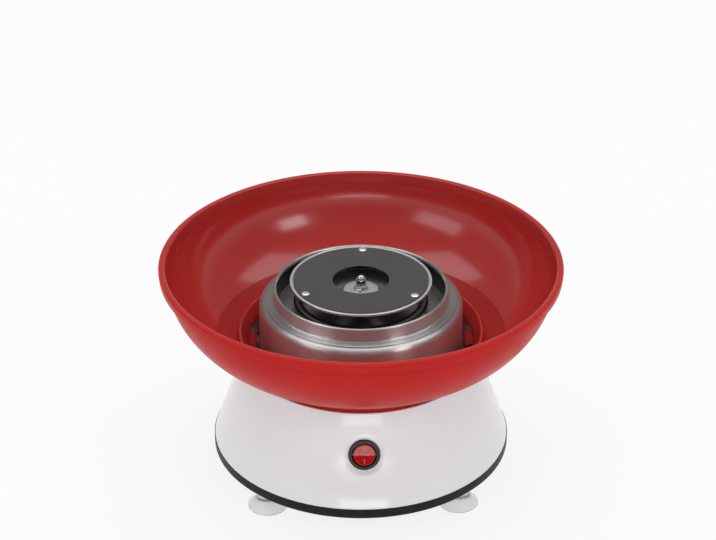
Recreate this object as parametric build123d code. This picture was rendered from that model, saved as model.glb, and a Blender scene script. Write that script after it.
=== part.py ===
from build123d import *
import math
import os

# Electric cotton candy machine: a moulded housing on suction feet, a steel collar with a
# heated chamber, a spinning head with its sugar cup, and a bowl that lifts off.
# Millimetres, +Z up, origin on the ground under the middle, the switch faces -Y.

# ------------------------------------------------------------------ fits
AIR = 0.3                     # air between neighbouring curved faces
RUNNING = 0.05                # radial clearance of a running fit
SEATED = 0.05                 # radial clearance of a piece seated in its hole

# ------------------------------------------------------------------ heights of the stack
FOOT_HEIGHT = 14.0            # ground to the pan
PAN_BAND = 8.2                # black band of the pan that shows
HOUSING_HEIGHT = 67.4         # white housing above the band
LEDGE_DROP = 1.1              # steel ledge below the mouth of the housing
BAND_RISE = 46.5              # ledge to the shoulder of the collar
NECK_RISE = 11.5              # shoulder to the rim of the neck
CHAMBER_DEPTH = 16.5          # rim of the neck to the chamber floor
HEAD_ABOVE_RIM = 5.5          # rim of the neck to the top of the head's disc

Z_PAN = FOOT_HEIGHT
Z_HOUSING = Z_PAN + PAN_BAND
Z_MOUTH = Z_HOUSING + HOUSING_HEIGHT
Z_LEDGE = Z_MOUTH - LEDGE_DROP
Z_SHOULDER = Z_LEDGE + BAND_RISE
Z_NECK = Z_SHOULDER + NECK_RISE
Z_FLOOR = Z_NECK - CHAMBER_DEPTH
Z_DISC = Z_NECK + HEAD_ABOVE_RIM

# ------------------------------------------------------------------ collar
SHEET = 1.0
NECK_R = 65.0
SHOULDER_WIDTH = 11.0         # neck to the straight wall of the band
SHOULDER_ROUND = 4.5
BEAD_WIDTH = 3.0              # bead at the foot of the band
BEAD_RISE = 3.2
LEDGE_WIDTH = 6.9             # flat ledge outside the bead
BAND_R = NECK_R + SHOULDER_WIDTH
BEAD_R = BAND_R + BEAD_WIDTH
LEDGE_R = BEAD_R + LEDGE_WIDTH

LEDGE_SCREWS = 6
LEDGE_SCREW_FIRST = 30.0      # degrees from +X
LEDGE_SCREW_HEAD_R = 2.2
LEDGE_SCREW_HEAD_H = 2.0
LEDGE_SCREW_DOME = 1.5        # rise of the head's dome
LEDGE_SCREW_R = 1.3
LEDGE_SCREW_LENGTH = 8.0
LEDGE_SCREW_CIRCLE = BEAD_R + LEDGE_SCREW_HEAD_R + AIR

SLOT_COUNT = 4
SLOT_FIRST = -90.0
SLOT_WIDTH = 27.0
SLOT_HEIGHT = 5.2
SLOT_LIP = 1.4                # the slot's upper edge is pressed outwards
SLOT_LIP_THICK = 0.8

NECK_FLANGE_WIDTH = 6.5
NECK_FLANGE_R = NECK_R + NECK_FLANGE_WIDTH
NECK_FLANGE = 0.9
NECK_BEAD_R = 1.2
LINER_WALL = 0.7
FLOOR_SHEET = 1.0
FLOOR_HOLE_R = 7.0
SHIELD_SHEET = 0.8
SHIELD_HOLE_R = 12.0
FLOOR_POST_COUNT = 3
FLOOR_POST_FIRST = 90.0
FLOOR_POST_CIRCLE = 30.0
FLOOR_POST_R = 2.5

# ------------------------------------------------------------------ housing
MOUTH_WALL = 1.5              # wall round the recess
HOUSING_FLARE = 24.3          # mouth to foot
HOUSING_WALL = 2.6
HOUSING_LIP = 0.7             # rounding of the mouth
SHELF_LAP = 2.0               # shelf inside the straight wall of the band
RECESS_R = LEDGE_R + AIR      # recess that takes the ledge and the bowl's skirt
HOUSING_MOUTH_R = RECESS_R + MOUTH_WALL
HOUSING_FOOT_R = HOUSING_MOUTH_R + HOUSING_FLARE
SHELF_R = BAND_R - SHELF_LAP
SHELF_BOSS_R = 3.2
SHELF_BOSS_DROP = 6.5

PANEL_DEPTH = 2.0             # soft panel dished into the front
PANEL_LOW = 9.0               # its lower edge above the foot of the housing
PANEL_HEIGHT = 48.0
PANEL_SHIFT = 12.0            # how far its axis lies behind the machine's
PANEL_ARC = 60.0              # degrees of the ring that dishes it

COVER_SCREW_INSET = 20.0      # inside the foot of the housing
COVER_SCREW_CIRCLE = HOUSING_FOOT_R - COVER_SCREW_INSET
COVER_SCREW_ANGLES = (20, 160, 200, 340)
COVER_SCREW_R = 1.75
COVER_SCREW_HEAD_R = 3.4
COVER_SCREW_HEAD_H = 1.6
COVER_SCREW_LENGTH = 14.0
COVER_BOSS_R = 4.5

# ------------------------------------------------------------------ pan and feet
PAN_STEP = 0.3                # the band stands proud of the housing
PAN_R = HOUSING_FOOT_R + PAN_STEP
PAN_FLOOR = 2.5
PAN_EDGE = 1.5                # chamfer under the band
PAN_LIP = 1.4                 # spigot that centres the housing
PAN_LIP_RISE = 3.3
VENT_COUNT = 12
VENT_FIRST = 15.0
VENT_IN = 15.0
VENT_OUT = 33.0
VENT_WIDTH = 3.5

FOOT_INSET = 11.9             # inside the edge of the pan
FOOT_CIRCLE = PAN_R - FOOT_INSET
FOOT_ANGLES = (45, 135, 225, 315)
FOOT_R = 15.0
FOOT_EDGE = 1.3               # thickness of the suction lip
FOOT_NECK_R = 7.5
FOOT_NECK_FOOT = 8.5          # where the cup meets the neck, above the ground
FOOT_FLARE = 0.45             # share of the cup's height at the middle of its slope
FOOT_FLANGE_R = 9.0
FOOT_FLANGE = 2.0
FOOT_STEM_R = 4.8
FOOT_BULB_R = 6.2
FOOT_BULB_H = 3.4
FOOT_HOLLOW = 4.5

# ------------------------------------------------------------------ heater
HEATER_R = 47.0
HEATER_TUBE_R = 3.25
HEATER_LIFT = 1.6             # chamber floor to the underside of the ring
HEATER_GAP = 24.0             # degrees left open between the cold ends
HEATER_TAIL = 14.0            # cold ends below the chamber floor
HEATER_BEND = 5.5             # bend between the ring and a cold end
HEATER_TAIL_HOLE_R = 4.4
CLIP_COUNT = 3
CLIP_FIRST = 90.0
CLIP_LENGTH = 9.0
CLIP_WIDTH = 12.0
CLIP_CHEEK = 2.2              # how far the cheeks reach up the tube
CUTOUT_R = 8.0
CUTOUT_H = 5.5
CUTOUT_CIRCLE = 42.0
CUTOUT_ANGLE = 30.0

# ------------------------------------------------------------------ head
HEAD_R = 52.8
HEAD_SHEET = 0.8
DISC_INSET = 2.6              # rim of the cup that shows round the disc
HEAD_DISC_R = HEAD_R - DISC_INSET
HEAD_HOLE_R = 21.0
HEAD_GAP = 0.6                # slit that the sugar leaves through
CUP_FLANGE = 8.6              # flange outside the sloping wall
CUP_SLOPE = 9.7               # how far the wall draws in
CUP_TOP_R = HEAD_R - CUP_FLANGE
CUP_BOTTOM_R = CUP_TOP_R - CUP_SLOPE
CUP_DEPTH = 12.4              # disc to the underside of the cup
CUP_ROUND = 3.0
CUP_SLANT = 1.2               # a sloping wall's width over its sheet's thickness
BOSS_TOP_R = 12.5             # raised middle of the cup
BOSS_SLOPE = 3.5
BOSS_FOOT_R = BOSS_TOP_R + BOSS_SLOPE
BOSS_RISE = 3.6
RIVET_COUNT = 3
RIVET_FIRST = 87.0
RIVET_HEAD_R = 2.75
RIVET_HEAD_H = 0.7
RIVET_HEAD_TAPER = 0.55       # bevel round the head
RIVET_R = 1.4
SPACER_R = 2.4
RIVET_TAIL = 0.8
RIVET_TAIL_R = 1.8
RIVET_CIRCLE = CUP_TOP_R + RIVET_TAIL_R + AIR
HUB_R = 4.05                  # sleeve round the motor shaft
HUB_SHOULDER_R = 7.0
HUB_SHOULDER = 2.6
HUB_LENGTH = 27.0             # below the shoulder
HUB_CHAMFER = 0.5
HUB_SLOT_WIDTH = 2.2
HUB_SLOT_DEPTH = 6.0
HUB_STUD_R = 2.0
WASHER_R = 5.5
WASHER_THICK = 0.8
NUT_FLATS = 7.0
NUT_HEIGHT = 4.2
CAP_HEX_HEIGHT = 3.2
CAP_DOME_R = 2.85
CAP_TOP = 3.4                 # dome above the disc

# ------------------------------------------------------------------ motor
SHAFT_R = 2.5
SHAFT_END = 19.0              # lower end above the ground
DRIVE_PIN_R = 1.0
DRIVE_PIN_LENGTH = 10.4
PILLAR_X = 38.0
PILLAR_R = 6.0
PILLAR_TOP = 30.0             # above the ground
PILLAR_SPIGOT_R = 2.4
PILLAR_SPIGOT = 7.0
MOUNT_R = 5.4
MOUNT_HEIGHT = 4.0
STRIP_THICK = 1.6
STRIP_WIDTH = 20.0
STRIP_SEAT = 4.0              # flat round a bearing's flange
STRIP_EDGE = 1.0              # from a fold to the edge of what lies on the flat
LOWER_DROP = 7.4              # lower bearing strip below the stack
UPPER_RISE = 9.0              # upper bearing strip above the stack
STACK_FOOT = 48.0             # underside of the laminations above the ground
STACK_HEIGHT = 20.0
STACK_X = 60.0
STACK_FRONT = 28.0
STACK_BACK = 52.0
STACK_BAR = 14.0              # bar that carries the winding
WINDOW_FRONT = 22.0
WINDOW_WIDTH = 34.0
ROTOR_R = 15.0
ROTOR_AIR = 0.6
ROTOR_RING = 2.0
COIL_WALL = 8.0
COIL_WIDTH = 30.0
COIL_AIR = 0.3
MOTOR_BOLT_X = 24.0
MOTOR_BOLT_R = 2.0
MOTOR_BOLT_HEAD_R = 3.8
MOTOR_BOLT_HEAD_H = 2.6
BEARING_R = 6.0
BEARING_HEIGHT = 7.0
BEARING_FLANGE_R = 8.5
BEARING_FLANGE = 1.4
FAN_R = 26.0
FAN_HUB_R = 6.0
FAN_HEIGHT = 7.0
FAN_FOOT = 22.0
FAN_BLADES = 7
FAN_BLADE_THICK = 1.2
FAN_BLADE_TILT = 35.0

# ------------------------------------------------------------------ switch
SWITCH_Z = 60.0               # above the ground
SWITCH_LEAN = 12.0            # degrees that its face looks up
SWITCH_SINK = 0.5             # seat below the middle of the panel
SWITCH_PAD_R = 13.5
PAD_THICK = 3.2
PORT_DEPTH = 12.0             # how far a port's hole is cut either side of its seat
BEZEL_R = 11.7
BEZEL_THICK = 2.4
BEZEL_ROUND = 0.9
BARREL_R = 9.9
BARREL_LENGTH = 14.0
POCKET_R = 8.5
POCKET_DEPTH = 6.4            # below the pivot
ROCKER_R = 8.2
ROCKER_PIVOT = 0.2            # pivot above the seat
ROCKER_FACE = 2.4             # middle of the face above the pivot
ROCKER_BACK = 3.4
ROCKER_WING = 8.0             # degrees of each half of the face
ROCKER_PIN_R = 0.8
ROCKER_PIN_LENGTH = 18.6
TERMINAL_X = 5.0
TERMINAL_WIDTH = 6.3
TERMINAL_THICK = 0.8
TERMINAL_LENGTH = 8.0

# ------------------------------------------------------------------ cord inlet and terminals
INLET_Z = 40.0                # above the ground, at the back
INLET_PROUD = 1.5             # pad in front of the housing's wall
INLET_PAD_R = 11.0
GLAND_FLANGE_R = 9.0
GLAND_FLANGE = 3.0
GLAND_R = 6.0
GLAND_LENGTH = 9.0
GLAND_SNAP = 1.0              # snap ring outside the body
GLAND_BORE_R = 3.3
BLOCK_SIZE = (34.0, 16.0, 13.0)  # length, width and height
BLOCK_INSET = 25.1            # inside the circle of the feet
BLOCK_CIRCLE = FOOT_CIRCLE - BLOCK_INSET
BLOCK_ANGLE = 50.4
BLOCK_WAYS = 3
BLOCK_HOLE_R = 2.0

# ------------------------------------------------------------------ bowl
BOWL_R = 150.0
BOWL_RISE = 79.5              # skirt to rim
BOWL_WALL = 2.2
BOWL_POWER = 1.74             # 2 would be a plain ellipse
CURVE_POINTS = 8
RIM_DROP = 7.3                # height of the thick rim
RIM_WIDTH = 5.0
RIM_DRAFT = 0.7
RIM_ROUND = 1.5
RIM_OVERHANG = 5.2            # the rim stands out from the body
BODY_R = BOWL_R - RIM_OVERHANG
SKIRT_AIR = 0.5               # skirt inside the recess of the housing
SKIRT_WALL = 1.6
SKIRT_RISE = 11.5             # skirt to the crease under the body
CREASE_STEP = 2.3             # crease outside the skirt
CREASE_BEAD = 0.9
CREST_STEP = 4.9              # raised lip outside the skirt
CREST_RISE = 21.6
CREST_THICK = 2.4
SLOPE_FOOT = 15.0             # where the lip's inner slope starts above the skirt
LUG_AIR = 2.0                 # lug to the band
LUG_WIDTH = 26.0
LUG_FOOT = 3.5                # above the skirt's lower edge
LUG_TOP = 13.5
SKIRT_R = RECESS_R - SKIRT_AIR
CREASE_R = SKIRT_R + CREASE_STEP
CREST_R = SKIRT_R + CREST_STEP
LUG_R = BAND_R + LUG_AIR


# ------------------------------------------------------------------ helpers
STANDING = (Align.CENTER, Align.CENTER, Align.MIN)
HANGING = (Align.CENTER, Align.CENTER, Align.MAX)


def turned(*points):
    """Solid of revolution about +Z from (radius, height) corners."""
    return revolve(Plane.XZ * make_face(Polyline(*points, close=True)), Axis.Z)


def drum(radius, low, high):
    """Upright cylinder on the Z axis between two heights."""
    return Pos(0, 0, low) * Cylinder(radius, high - low, align=STANDING)


def ring(outer, inner, low, high):
    """Upright tube on the Z axis between two heights."""
    return turned((inner, low), (outer, low), (outer, high), (inner, high))


def around(shape, angles, radius=0.0):
    """Copies of a shape, moved out along +X and turned to each angle."""
    return [Rot(0, 0, angle) * Pos(radius, 0, 0) * shape for angle in angles]


def evenly(count, first=0.0):
    """Angles of a pattern of that many copies."""
    return [first + 360.0 * step / count for step in range(count)]


def half_angle(width, radius):
    """Half the angle, in degrees, that a width takes up on a circle."""
    return math.degrees(math.asin(width / 2 / radius))


def sector(profile, width, radius, angle):
    """Part of a ring, as wide as given, from a closed (radius, height) profile."""
    spread = half_angle(width, radius)
    face = Plane.XZ * make_face(Polyline(*profile, close=True))
    return Rot(0, 0, angle - spread) * revolve(face, Axis.Z, 2 * spread)


def housing_radius(z):
    """Outer radius of the housing's cone at a height."""
    share = (z - Z_HOUSING) / HOUSING_HEIGHT
    return HOUSING_FOOT_R - HOUSING_FLARE * share


def wall_height(radius):
    """Height where the inner face of the housing's wall has a radius."""
    return Z_HOUSING + HOUSING_HEIGHT * (HOUSING_FOOT_R - HOUSING_WALL - radius) / HOUSING_FLARE


# ------------------------------------------------------------------ places on the housing
def switch_plane():
    """Frame of the switch: its Z looks out of the housing, its Y up."""
    lean = math.radians(SWITCH_LEAN)
    seat = housing_radius(SWITCH_Z) - PANEL_DEPTH - SWITCH_SINK
    return Plane((0, -seat, SWITCH_Z), x_dir=(1, 0, 0), z_dir=(0, -math.cos(lean), math.sin(lean)))


def inlet_plane():
    """Frame of the cord inlet at the back: its Z points along +Y."""
    return Plane((0, housing_radius(INLET_Z) + INLET_PROUD, INLET_Z), x_dir=(-1, 0, 0), z_dir=(0, 1, 0))


# ------------------------------------------------------------------ housing, pan and feet
def front_panel_tool(grow=0.0):
    """Ring with a bulging section, set back, that dishes the soft panel out of the front."""
    low = Vector(housing_radius(Z_HOUSING + PANEL_LOW), Z_HOUSING + PANEL_LOW)
    high_z = Z_HOUSING + PANEL_LOW + PANEL_HEIGHT
    high = Vector(housing_radius(high_z), high_z)
    chord = high - low
    bulge = (chord.length ** 2 / 4 + PANEL_DEPTH ** 2) / (2 * PANEL_DEPTH)
    outward = Vector(chord.Y, -chord.X).normalized()
    centre = low + chord * 0.5 + outward * (bulge - PANEL_DEPTH)
    section = Plane.XZ * Pos(centre.X + PANEL_SHIFT, centre.Y) * Circle(bulge + grow)
    tool = revolve(section, Axis.Z, PANEL_ARC)
    return Pos(0, PANEL_SHIFT, 0) * Rot(0, 0, -90 - PANEL_ARC / 2) * tool


def wall_port(shell, plane, pad_r, hole_r):
    """Flat round seat with a hole through the housing's wall."""
    shell += plane * Pos(0, 0, -PAD_THICK / 2) * Cylinder(pad_r, PAD_THICK)
    shell -= plane * Cylinder(pad_r, PORT_DEPTH, align=STANDING)
    shell -= plane * Cylinder(hole_r, 2 * PORT_DEPTH)
    return shell


def housing_shell():
    """White moulded housing with its recess, shelf, bosses, front panel and two ports."""
    shelf_under = Z_LEDGE - SHEET - HOUSING_WALL
    outer = turned((0, Z_HOUSING), (HOUSING_FOOT_R, Z_HOUSING), (HOUSING_MOUTH_R, Z_MOUTH), (0, Z_MOUTH))
    inner = turned(
        (0, Z_HOUSING),
        (HOUSING_FOOT_R - HOUSING_WALL, Z_HOUSING),
        (housing_radius(shelf_under) - HOUSING_WALL, shelf_under),
        (0, shelf_under),
    )
    cover_boss = drum(COVER_BOSS_R, Z_PAN + PAN_FLOOR, wall_height(COVER_SCREW_CIRCLE))
    cover_bosses = around(cover_boss, COVER_SCREW_ANGLES, COVER_SCREW_CIRCLE)
    shelf_boss = drum(SHELF_BOSS_R, shelf_under - SHELF_BOSS_DROP, shelf_under)
    shelf_bosses = around(shelf_boss, evenly(LEDGE_SCREWS, LEDGE_SCREW_FIRST), LEDGE_SCREW_CIRCLE)

    outer -= front_panel_tool()
    shell = outer - (inner - front_panel_tool(HOUSING_WALL))
    shell -= drum(SHELF_R, shelf_under, Z_MOUTH)
    shell -= drum(RECESS_R, Z_LEDGE - SHEET, Z_MOUTH)
    mouth = shell.edges().filter_by(GeomType.CIRCLE).filter_by_position(Axis.Z, Z_MOUTH - SEATED, Z_MOUTH)
    shell = fillet(mouth, HOUSING_LIP)
    inside = inner + drum(HOUSING_FOOT_R - HOUSING_WALL, Z_PAN + PAN_FLOOR, Z_HOUSING)
    for boss in cover_bosses:
        shell += boss & inside
    for boss in shelf_bosses:
        shell += boss
    pilot = drum(COVER_SCREW_R + SEATED, Z_PAN, Z_PAN + COVER_SCREW_LENGTH + COVER_SCREW_R)
    for hole in around(pilot, COVER_SCREW_ANGLES, COVER_SCREW_CIRCLE):
        shell -= hole
    pilot = drum(LEDGE_SCREW_R + SEATED, Z_LEDGE - LEDGE_SCREW_LENGTH - SEATED, Z_LEDGE)
    for hole in around(pilot, evenly(LEDGE_SCREWS, LEDGE_SCREW_FIRST), LEDGE_SCREW_CIRCLE):
        shell -= hole
    shell = wall_port(shell, switch_plane(), SWITCH_PAD_R, BARREL_R + SEATED)
    return wall_port(shell, inlet_plane(), INLET_PAD_R, GLAND_R + SEATED)


def base_pan():
    """Black pan: the floor, the band that shows, vents, motor pillars and holes for the feet."""
    lip_r = housing_radius(Z_HOUSING + PAN_LIP_RISE) - HOUSING_WALL - AIR
    floor_top = Z_PAN + PAN_FLOOR
    pan = turned(
        (0, Z_PAN),
        (PAN_R - PAN_EDGE, Z_PAN),
        (PAN_R, Z_PAN + PAN_EDGE),
        (PAN_R, Z_HOUSING),
        (lip_r, Z_HOUSING),
        (lip_r, Z_HOUSING + PAN_LIP_RISE),
        (lip_r - PAN_LIP, Z_HOUSING + PAN_LIP_RISE),
        (lip_r - PAN_LIP, floor_top),
        (0, floor_top),
    )
    for side in (-1, 1):
        pan += Pos(side * PILLAR_X, 0, 0) * drum(PILLAR_R, floor_top, PILLAR_TOP)
        pan += Pos(side * PILLAR_X, 0, 0) * drum(PILLAR_SPIGOT_R, PILLAR_TOP, PILLAR_TOP + PILLAR_SPIGOT)
    vent = Pos(0, 0, Z_PAN) * extrude(SlotOverall(VENT_OUT - VENT_IN, VENT_WIDTH), PAN_FLOOR)
    for slot in around(vent, evenly(VENT_COUNT, VENT_FIRST), (VENT_OUT + VENT_IN) / 2):
        pan -= slot
    for hole in around(drum(FOOT_STEM_R + SEATED, Z_PAN, floor_top), FOOT_ANGLES, FOOT_CIRCLE):
        pan -= hole
    sunk = turned(
        (0, Z_PAN),
        (COVER_SCREW_HEAD_R + SEATED, Z_PAN),
        (COVER_SCREW_R + AIR, Z_PAN + COVER_SCREW_HEAD_H + SEATED),
        (COVER_SCREW_R + AIR, floor_top),
        (0, floor_top),
    )
    for hole in around(sunk, COVER_SCREW_ANGLES, COVER_SCREW_CIRCLE):
        pan -= hole
    return pan


def suction_foot():
    """Soft suction cup with a flange under the pan and a bulb that snaps in above it."""
    bulb = Z_PAN + PAN_FLOOR
    return turned(
        (FOOT_R - FOOT_EDGE, 0),
        (FOOT_R, 0),
        (FOOT_R, FOOT_EDGE),
        ((FOOT_R + FOOT_NECK_R) / 2, FOOT_EDGE + (FOOT_NECK_FOOT - FOOT_EDGE) * FOOT_FLARE),
        (FOOT_NECK_R, FOOT_NECK_FOOT),
        (FOOT_NECK_R, Z_PAN - FOOT_FLANGE),
        (FOOT_FLANGE_R, Z_PAN - FOOT_FLANGE),
        (FOOT_FLANGE_R, Z_PAN),
        (FOOT_STEM_R, Z_PAN),
        (FOOT_STEM_R, bulb),
        (FOOT_BULB_R, bulb),
        (FOOT_STEM_R / 2, bulb + FOOT_BULB_H),
        (0, bulb + FOOT_BULB_H),
        (0, FOOT_HOLLOW),
    )


def cover_screw():
    """Countersunk screw that holds the pan to the housing."""
    return turned(
        (0, Z_PAN),
        (COVER_SCREW_HEAD_R, Z_PAN),
        (COVER_SCREW_R, Z_PAN + COVER_SCREW_HEAD_H),
        (COVER_SCREW_R, Z_PAN + COVER_SCREW_LENGTH),
        (0, Z_PAN + COVER_SCREW_LENGTH + COVER_SCREW_R / 2),
    )


# ------------------------------------------------------------------ collar and heated chamber
def steel_band():
    """Drawn band: a ledge for the bowl, a bead, the straight wall and a rounded shoulder."""
    outline = FilletPolyline(
        (LEDGE_R, Z_LEDGE - SHEET),
        (LEDGE_R, Z_LEDGE),
        (BEAD_R, Z_LEDGE),
        (BEAD_R, Z_LEDGE + BEAD_RISE),
        (BAND_R, Z_LEDGE + BEAD_RISE),
        (BAND_R, Z_SHOULDER),
        (NECK_R + AIR, Z_SHOULDER),
        (NECK_R + AIR, Z_SHOULDER - SHEET),
        (BAND_R - SHEET, Z_SHOULDER - SHEET),
        (BAND_R - SHEET, Z_LEDGE + BEAD_RISE - SHEET),
        (BEAD_R - SHEET, Z_LEDGE + BEAD_RISE - SHEET),
        (BEAD_R - SHEET, Z_LEDGE - SHEET),
        radius=[0, 0, 0, SHEET, SHEET, SHOULDER_ROUND, 0, 0, SHOULDER_ROUND - SHEET, 0, 0, 0],
        close=True,
    )
    band = revolve(Plane.XZ * make_face(outline), Axis.Z)
    low = Z_LEDGE + BEAD_RISE - SHEET / 2
    high = low + SLOT_HEIGHT + SHEET / 2
    within, beyond = BAND_R - 2 * SHEET, BAND_R + SHEET
    opening = [(within, low), (beyond, low), (beyond, high), (within, high)]
    awning = [
        (BAND_R - SHEET / 2, high),
        (BAND_R + SLOT_LIP, high - SLOT_LIP_THICK / 2),
        (BAND_R + SLOT_LIP, high + SLOT_LIP_THICK / 2),
        (BAND_R - SHEET / 2, high + 2 * SLOT_LIP_THICK),
    ]
    for angle in evenly(SLOT_COUNT, SLOT_FIRST):
        band -= sector(opening, SLOT_WIDTH, BAND_R, angle)
        band += sector(awning, SLOT_WIDTH, BAND_R, angle)
    hole = drum(LEDGE_SCREW_R + SEATED, Z_LEDGE - SHEET, Z_LEDGE)
    for cut in around(hole, evenly(LEDGE_SCREWS, LEDGE_SCREW_FIRST), LEDGE_SCREW_CIRCLE):
        band -= cut
    return band


def neck_ring():
    """Neck with a flange on the shoulder and a rolled rim."""
    wall = NECK_R - SHEET
    foot = Z_SHOULDER
    rim = Z_NECK - NECK_BEAD_R
    neck = turned(
        (wall, foot),
        (NECK_FLANGE_R, foot),
        (NECK_FLANGE_R, foot + NECK_FLANGE),
        (NECK_R + NECK_FLANGE, foot + NECK_FLANGE),
        (NECK_R, foot + 2 * NECK_FLANGE),
        (NECK_R, rim),
        (wall, rim),
    )
    bead = Plane.XZ * Pos(NECK_R - SHEET, rim) * Circle(NECK_BEAD_R)
    return neck + revolve(bead, Axis.Z)


def collar_liner():
    """Dark lining of the heated chamber, standing on its floor."""
    outer = NECK_R - SHEET - AIR
    return ring(outer, outer - LINER_WALL, Z_FLOOR, Z_NECK - 2 * NECK_BEAD_R - AIR)


def heater_angles():
    """Angles where the ring stops, either side of the front."""
    return (-90 - HEATER_GAP / 2, -90 + HEATER_GAP / 2)


def heater_height():
    """Height of the ring heater's centre line."""
    return Z_FLOOR + HEATER_LIFT + HEATER_TUBE_R


def heater_end(angle, side):
    """End of the ring and its direction there, which points into the open stretch."""
    turn = math.radians(angle)
    place = Vector(HEATER_R * math.cos(turn), HEATER_R * math.sin(turn), heater_height())
    return place, Vector(-math.sin(turn), math.cos(turn), 0) * side


def heater_tails():
    """Places where the two cold ends drop, on the ring's centre line height."""
    ends = [heater_end(angle, side) for angle, side in zip(heater_angles(), (1, -1))]
    return [place + along * HEATER_BEND for place, along in ends]


def chamber_floor():
    """Round floor of the heated chamber with holes for the hub and the heater's ends."""
    low = Z_FLOOR - FLOOR_SHEET
    floor = ring(NECK_R - SHEET - AIR, FLOOR_HOLE_R, low, Z_FLOOR)
    for tail in heater_tails():
        floor -= Pos(tail.X, tail.Y, 0) * drum(HEATER_TAIL_HOLE_R, low, Z_FLOOR)
    return floor


def heat_shield():
    """Steel disc on the shelf that carries the posts of the chamber floor."""
    low = Z_LEDGE - SHEET
    return ring(BEAD_R - SHEET - AIR, SHIELD_HOLE_R, low, low + SHIELD_SHEET)


def floor_post():
    """Post between the heat shield and the chamber floor."""
    return drum(FLOOR_POST_R, Z_LEDGE - SHEET + SHIELD_SHEET, Z_FLOOR - FLOOR_SHEET)


def heater_bend(place, along):
    """Quarter bend from the ring down, and the straight cold end below it."""
    down = Vector(0, 0, -HEATER_BEND)
    corner = place + down + (along * HEATER_BEND - down) * math.sqrt(0.5)
    drop = place + along * HEATER_BEND + down
    return ThreePointArc(place, corner, drop), Line(drop, Vector(drop.X, drop.Y, Z_FLOOR - HEATER_TAIL))


def heater_ring():
    """Tubular heater: an open ring whose cold ends turn down through the floor."""
    start, end = heater_angles()
    ring_path = CenterArc((0, 0, heater_height()), HEATER_R, end, 360 - HEATER_GAP)
    first_bend, first_drop = heater_bend(*heater_end(end, -1))
    last_bend, last_drop = heater_bend(*heater_end(start, 1))
    stretches = (first_drop, first_bend, ring_path, last_bend, last_drop)
    path = Wire([edge for stretch in stretches for edge in stretch.edges()])
    foot = Vector(first_drop @ 1)
    return sweep(Plane(foot) * Circle(HEATER_TUBE_R), path)


def heater_clip():
    """Ceramic saddle under the ring, with cheeks either side of the tube."""
    top = heater_height() - HEATER_TUBE_R + CLIP_CHEEK
    low = Pos(HEATER_R, 0, Z_FLOOR)
    block = low * Box(CLIP_WIDTH, CLIP_LENGTH, top - Z_FLOOR, align=STANDING)
    groove = Plane.XZ * Pos(HEATER_R, heater_height()) * Circle(HEATER_TUBE_R + AIR)
    return block - revolve(groove, Axis.Z)


def thermal_cutout():
    """Round temperature limiter under the chamber floor with its two tabs."""
    high = Z_FLOOR - FLOOR_SHEET
    cutout = drum(CUTOUT_R, high - CUTOUT_H, high)
    tab = Box(TERMINAL_WIDTH, TERMINAL_THICK, TERMINAL_LENGTH, align=HANGING)
    for side in (-1, 1):
        cutout += Pos(0, side * CUTOUT_R / 2, high - CUTOUT_H) * tab
    return Rot(0, 0, CUTOUT_ANGLE) * Pos(CUTOUT_CIRCLE, 0, 0) * cutout


def ledge_screw():
    """Domed screw on the ledge."""
    dome_r = (LEDGE_SCREW_HEAD_R ** 2 + LEDGE_SCREW_DOME ** 2) / (2 * LEDGE_SCREW_DOME)
    head_top = Z_LEDGE + LEDGE_SCREW_HEAD_H
    head = drum(LEDGE_SCREW_HEAD_R, Z_LEDGE, head_top) & Pos(0, 0, head_top - dome_r) * Sphere(dome_r)
    return head + drum(LEDGE_SCREW_R, Z_LEDGE - LEDGE_SCREW_LENGTH, Z_LEDGE)


# ------------------------------------------------------------------ head
def cup_bottom():
    """Height of the underside of the sugar cup."""
    return Z_DISC - CUP_DEPTH


def boss_top():
    """Height of the cup's raised middle, where the nuts sit."""
    return cup_bottom() + BOSS_RISE + HEAD_SHEET


def flange_top():
    """Height of the cup's flange under the disc."""
    return Z_DISC - HEAD_SHEET - HEAD_GAP


def head_disc():
    """Flat ring that closes the top of the cup, with holes for the rivets."""
    disc = ring(HEAD_DISC_R, HEAD_HOLE_R, Z_DISC - HEAD_SHEET, Z_DISC)
    hole = drum(RIVET_R + SEATED, Z_DISC - HEAD_SHEET, Z_DISC)
    for cut in around(hole, evenly(RIVET_COUNT, RIVET_FIRST), RIVET_CIRCLE):
        disc -= cut
    return disc


def head_cup():
    """Spun cup with a wide flange, a sloping wall and a raised middle."""
    top, low = flange_top(), cup_bottom()
    slant = HEAD_SHEET * CUP_SLANT
    cup = turned(
        (HUB_STUD_R + SEATED, boss_top() - HEAD_SHEET),
        (BOSS_TOP_R, boss_top() - HEAD_SHEET),
        (BOSS_FOOT_R, low),
        (CUP_BOTTOM_R - CUP_ROUND, low),
        (CUP_BOTTOM_R, low + CUP_ROUND / 2),
        (CUP_TOP_R, top - HEAD_SHEET),
        (HEAD_R, top - HEAD_SHEET),
        (HEAD_R, top),
        (CUP_TOP_R - slant / 2, top),
        (CUP_BOTTOM_R - slant, low + CUP_ROUND / 2 + HEAD_SHEET / 2),
        (CUP_BOTTOM_R - CUP_ROUND - slant / 2, low + HEAD_SHEET),
        (BOSS_FOOT_R + slant / 2, low + HEAD_SHEET),
        (BOSS_TOP_R + slant / 2, boss_top()),
        (HUB_STUD_R + SEATED, boss_top()),
    )
    hole = drum(RIVET_R + SEATED, top - HEAD_SHEET, top)
    for cut in around(hole, evenly(RIVET_COUNT, RIVET_FIRST), RIVET_CIRCLE):
        cup -= cut
    return cup


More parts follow.
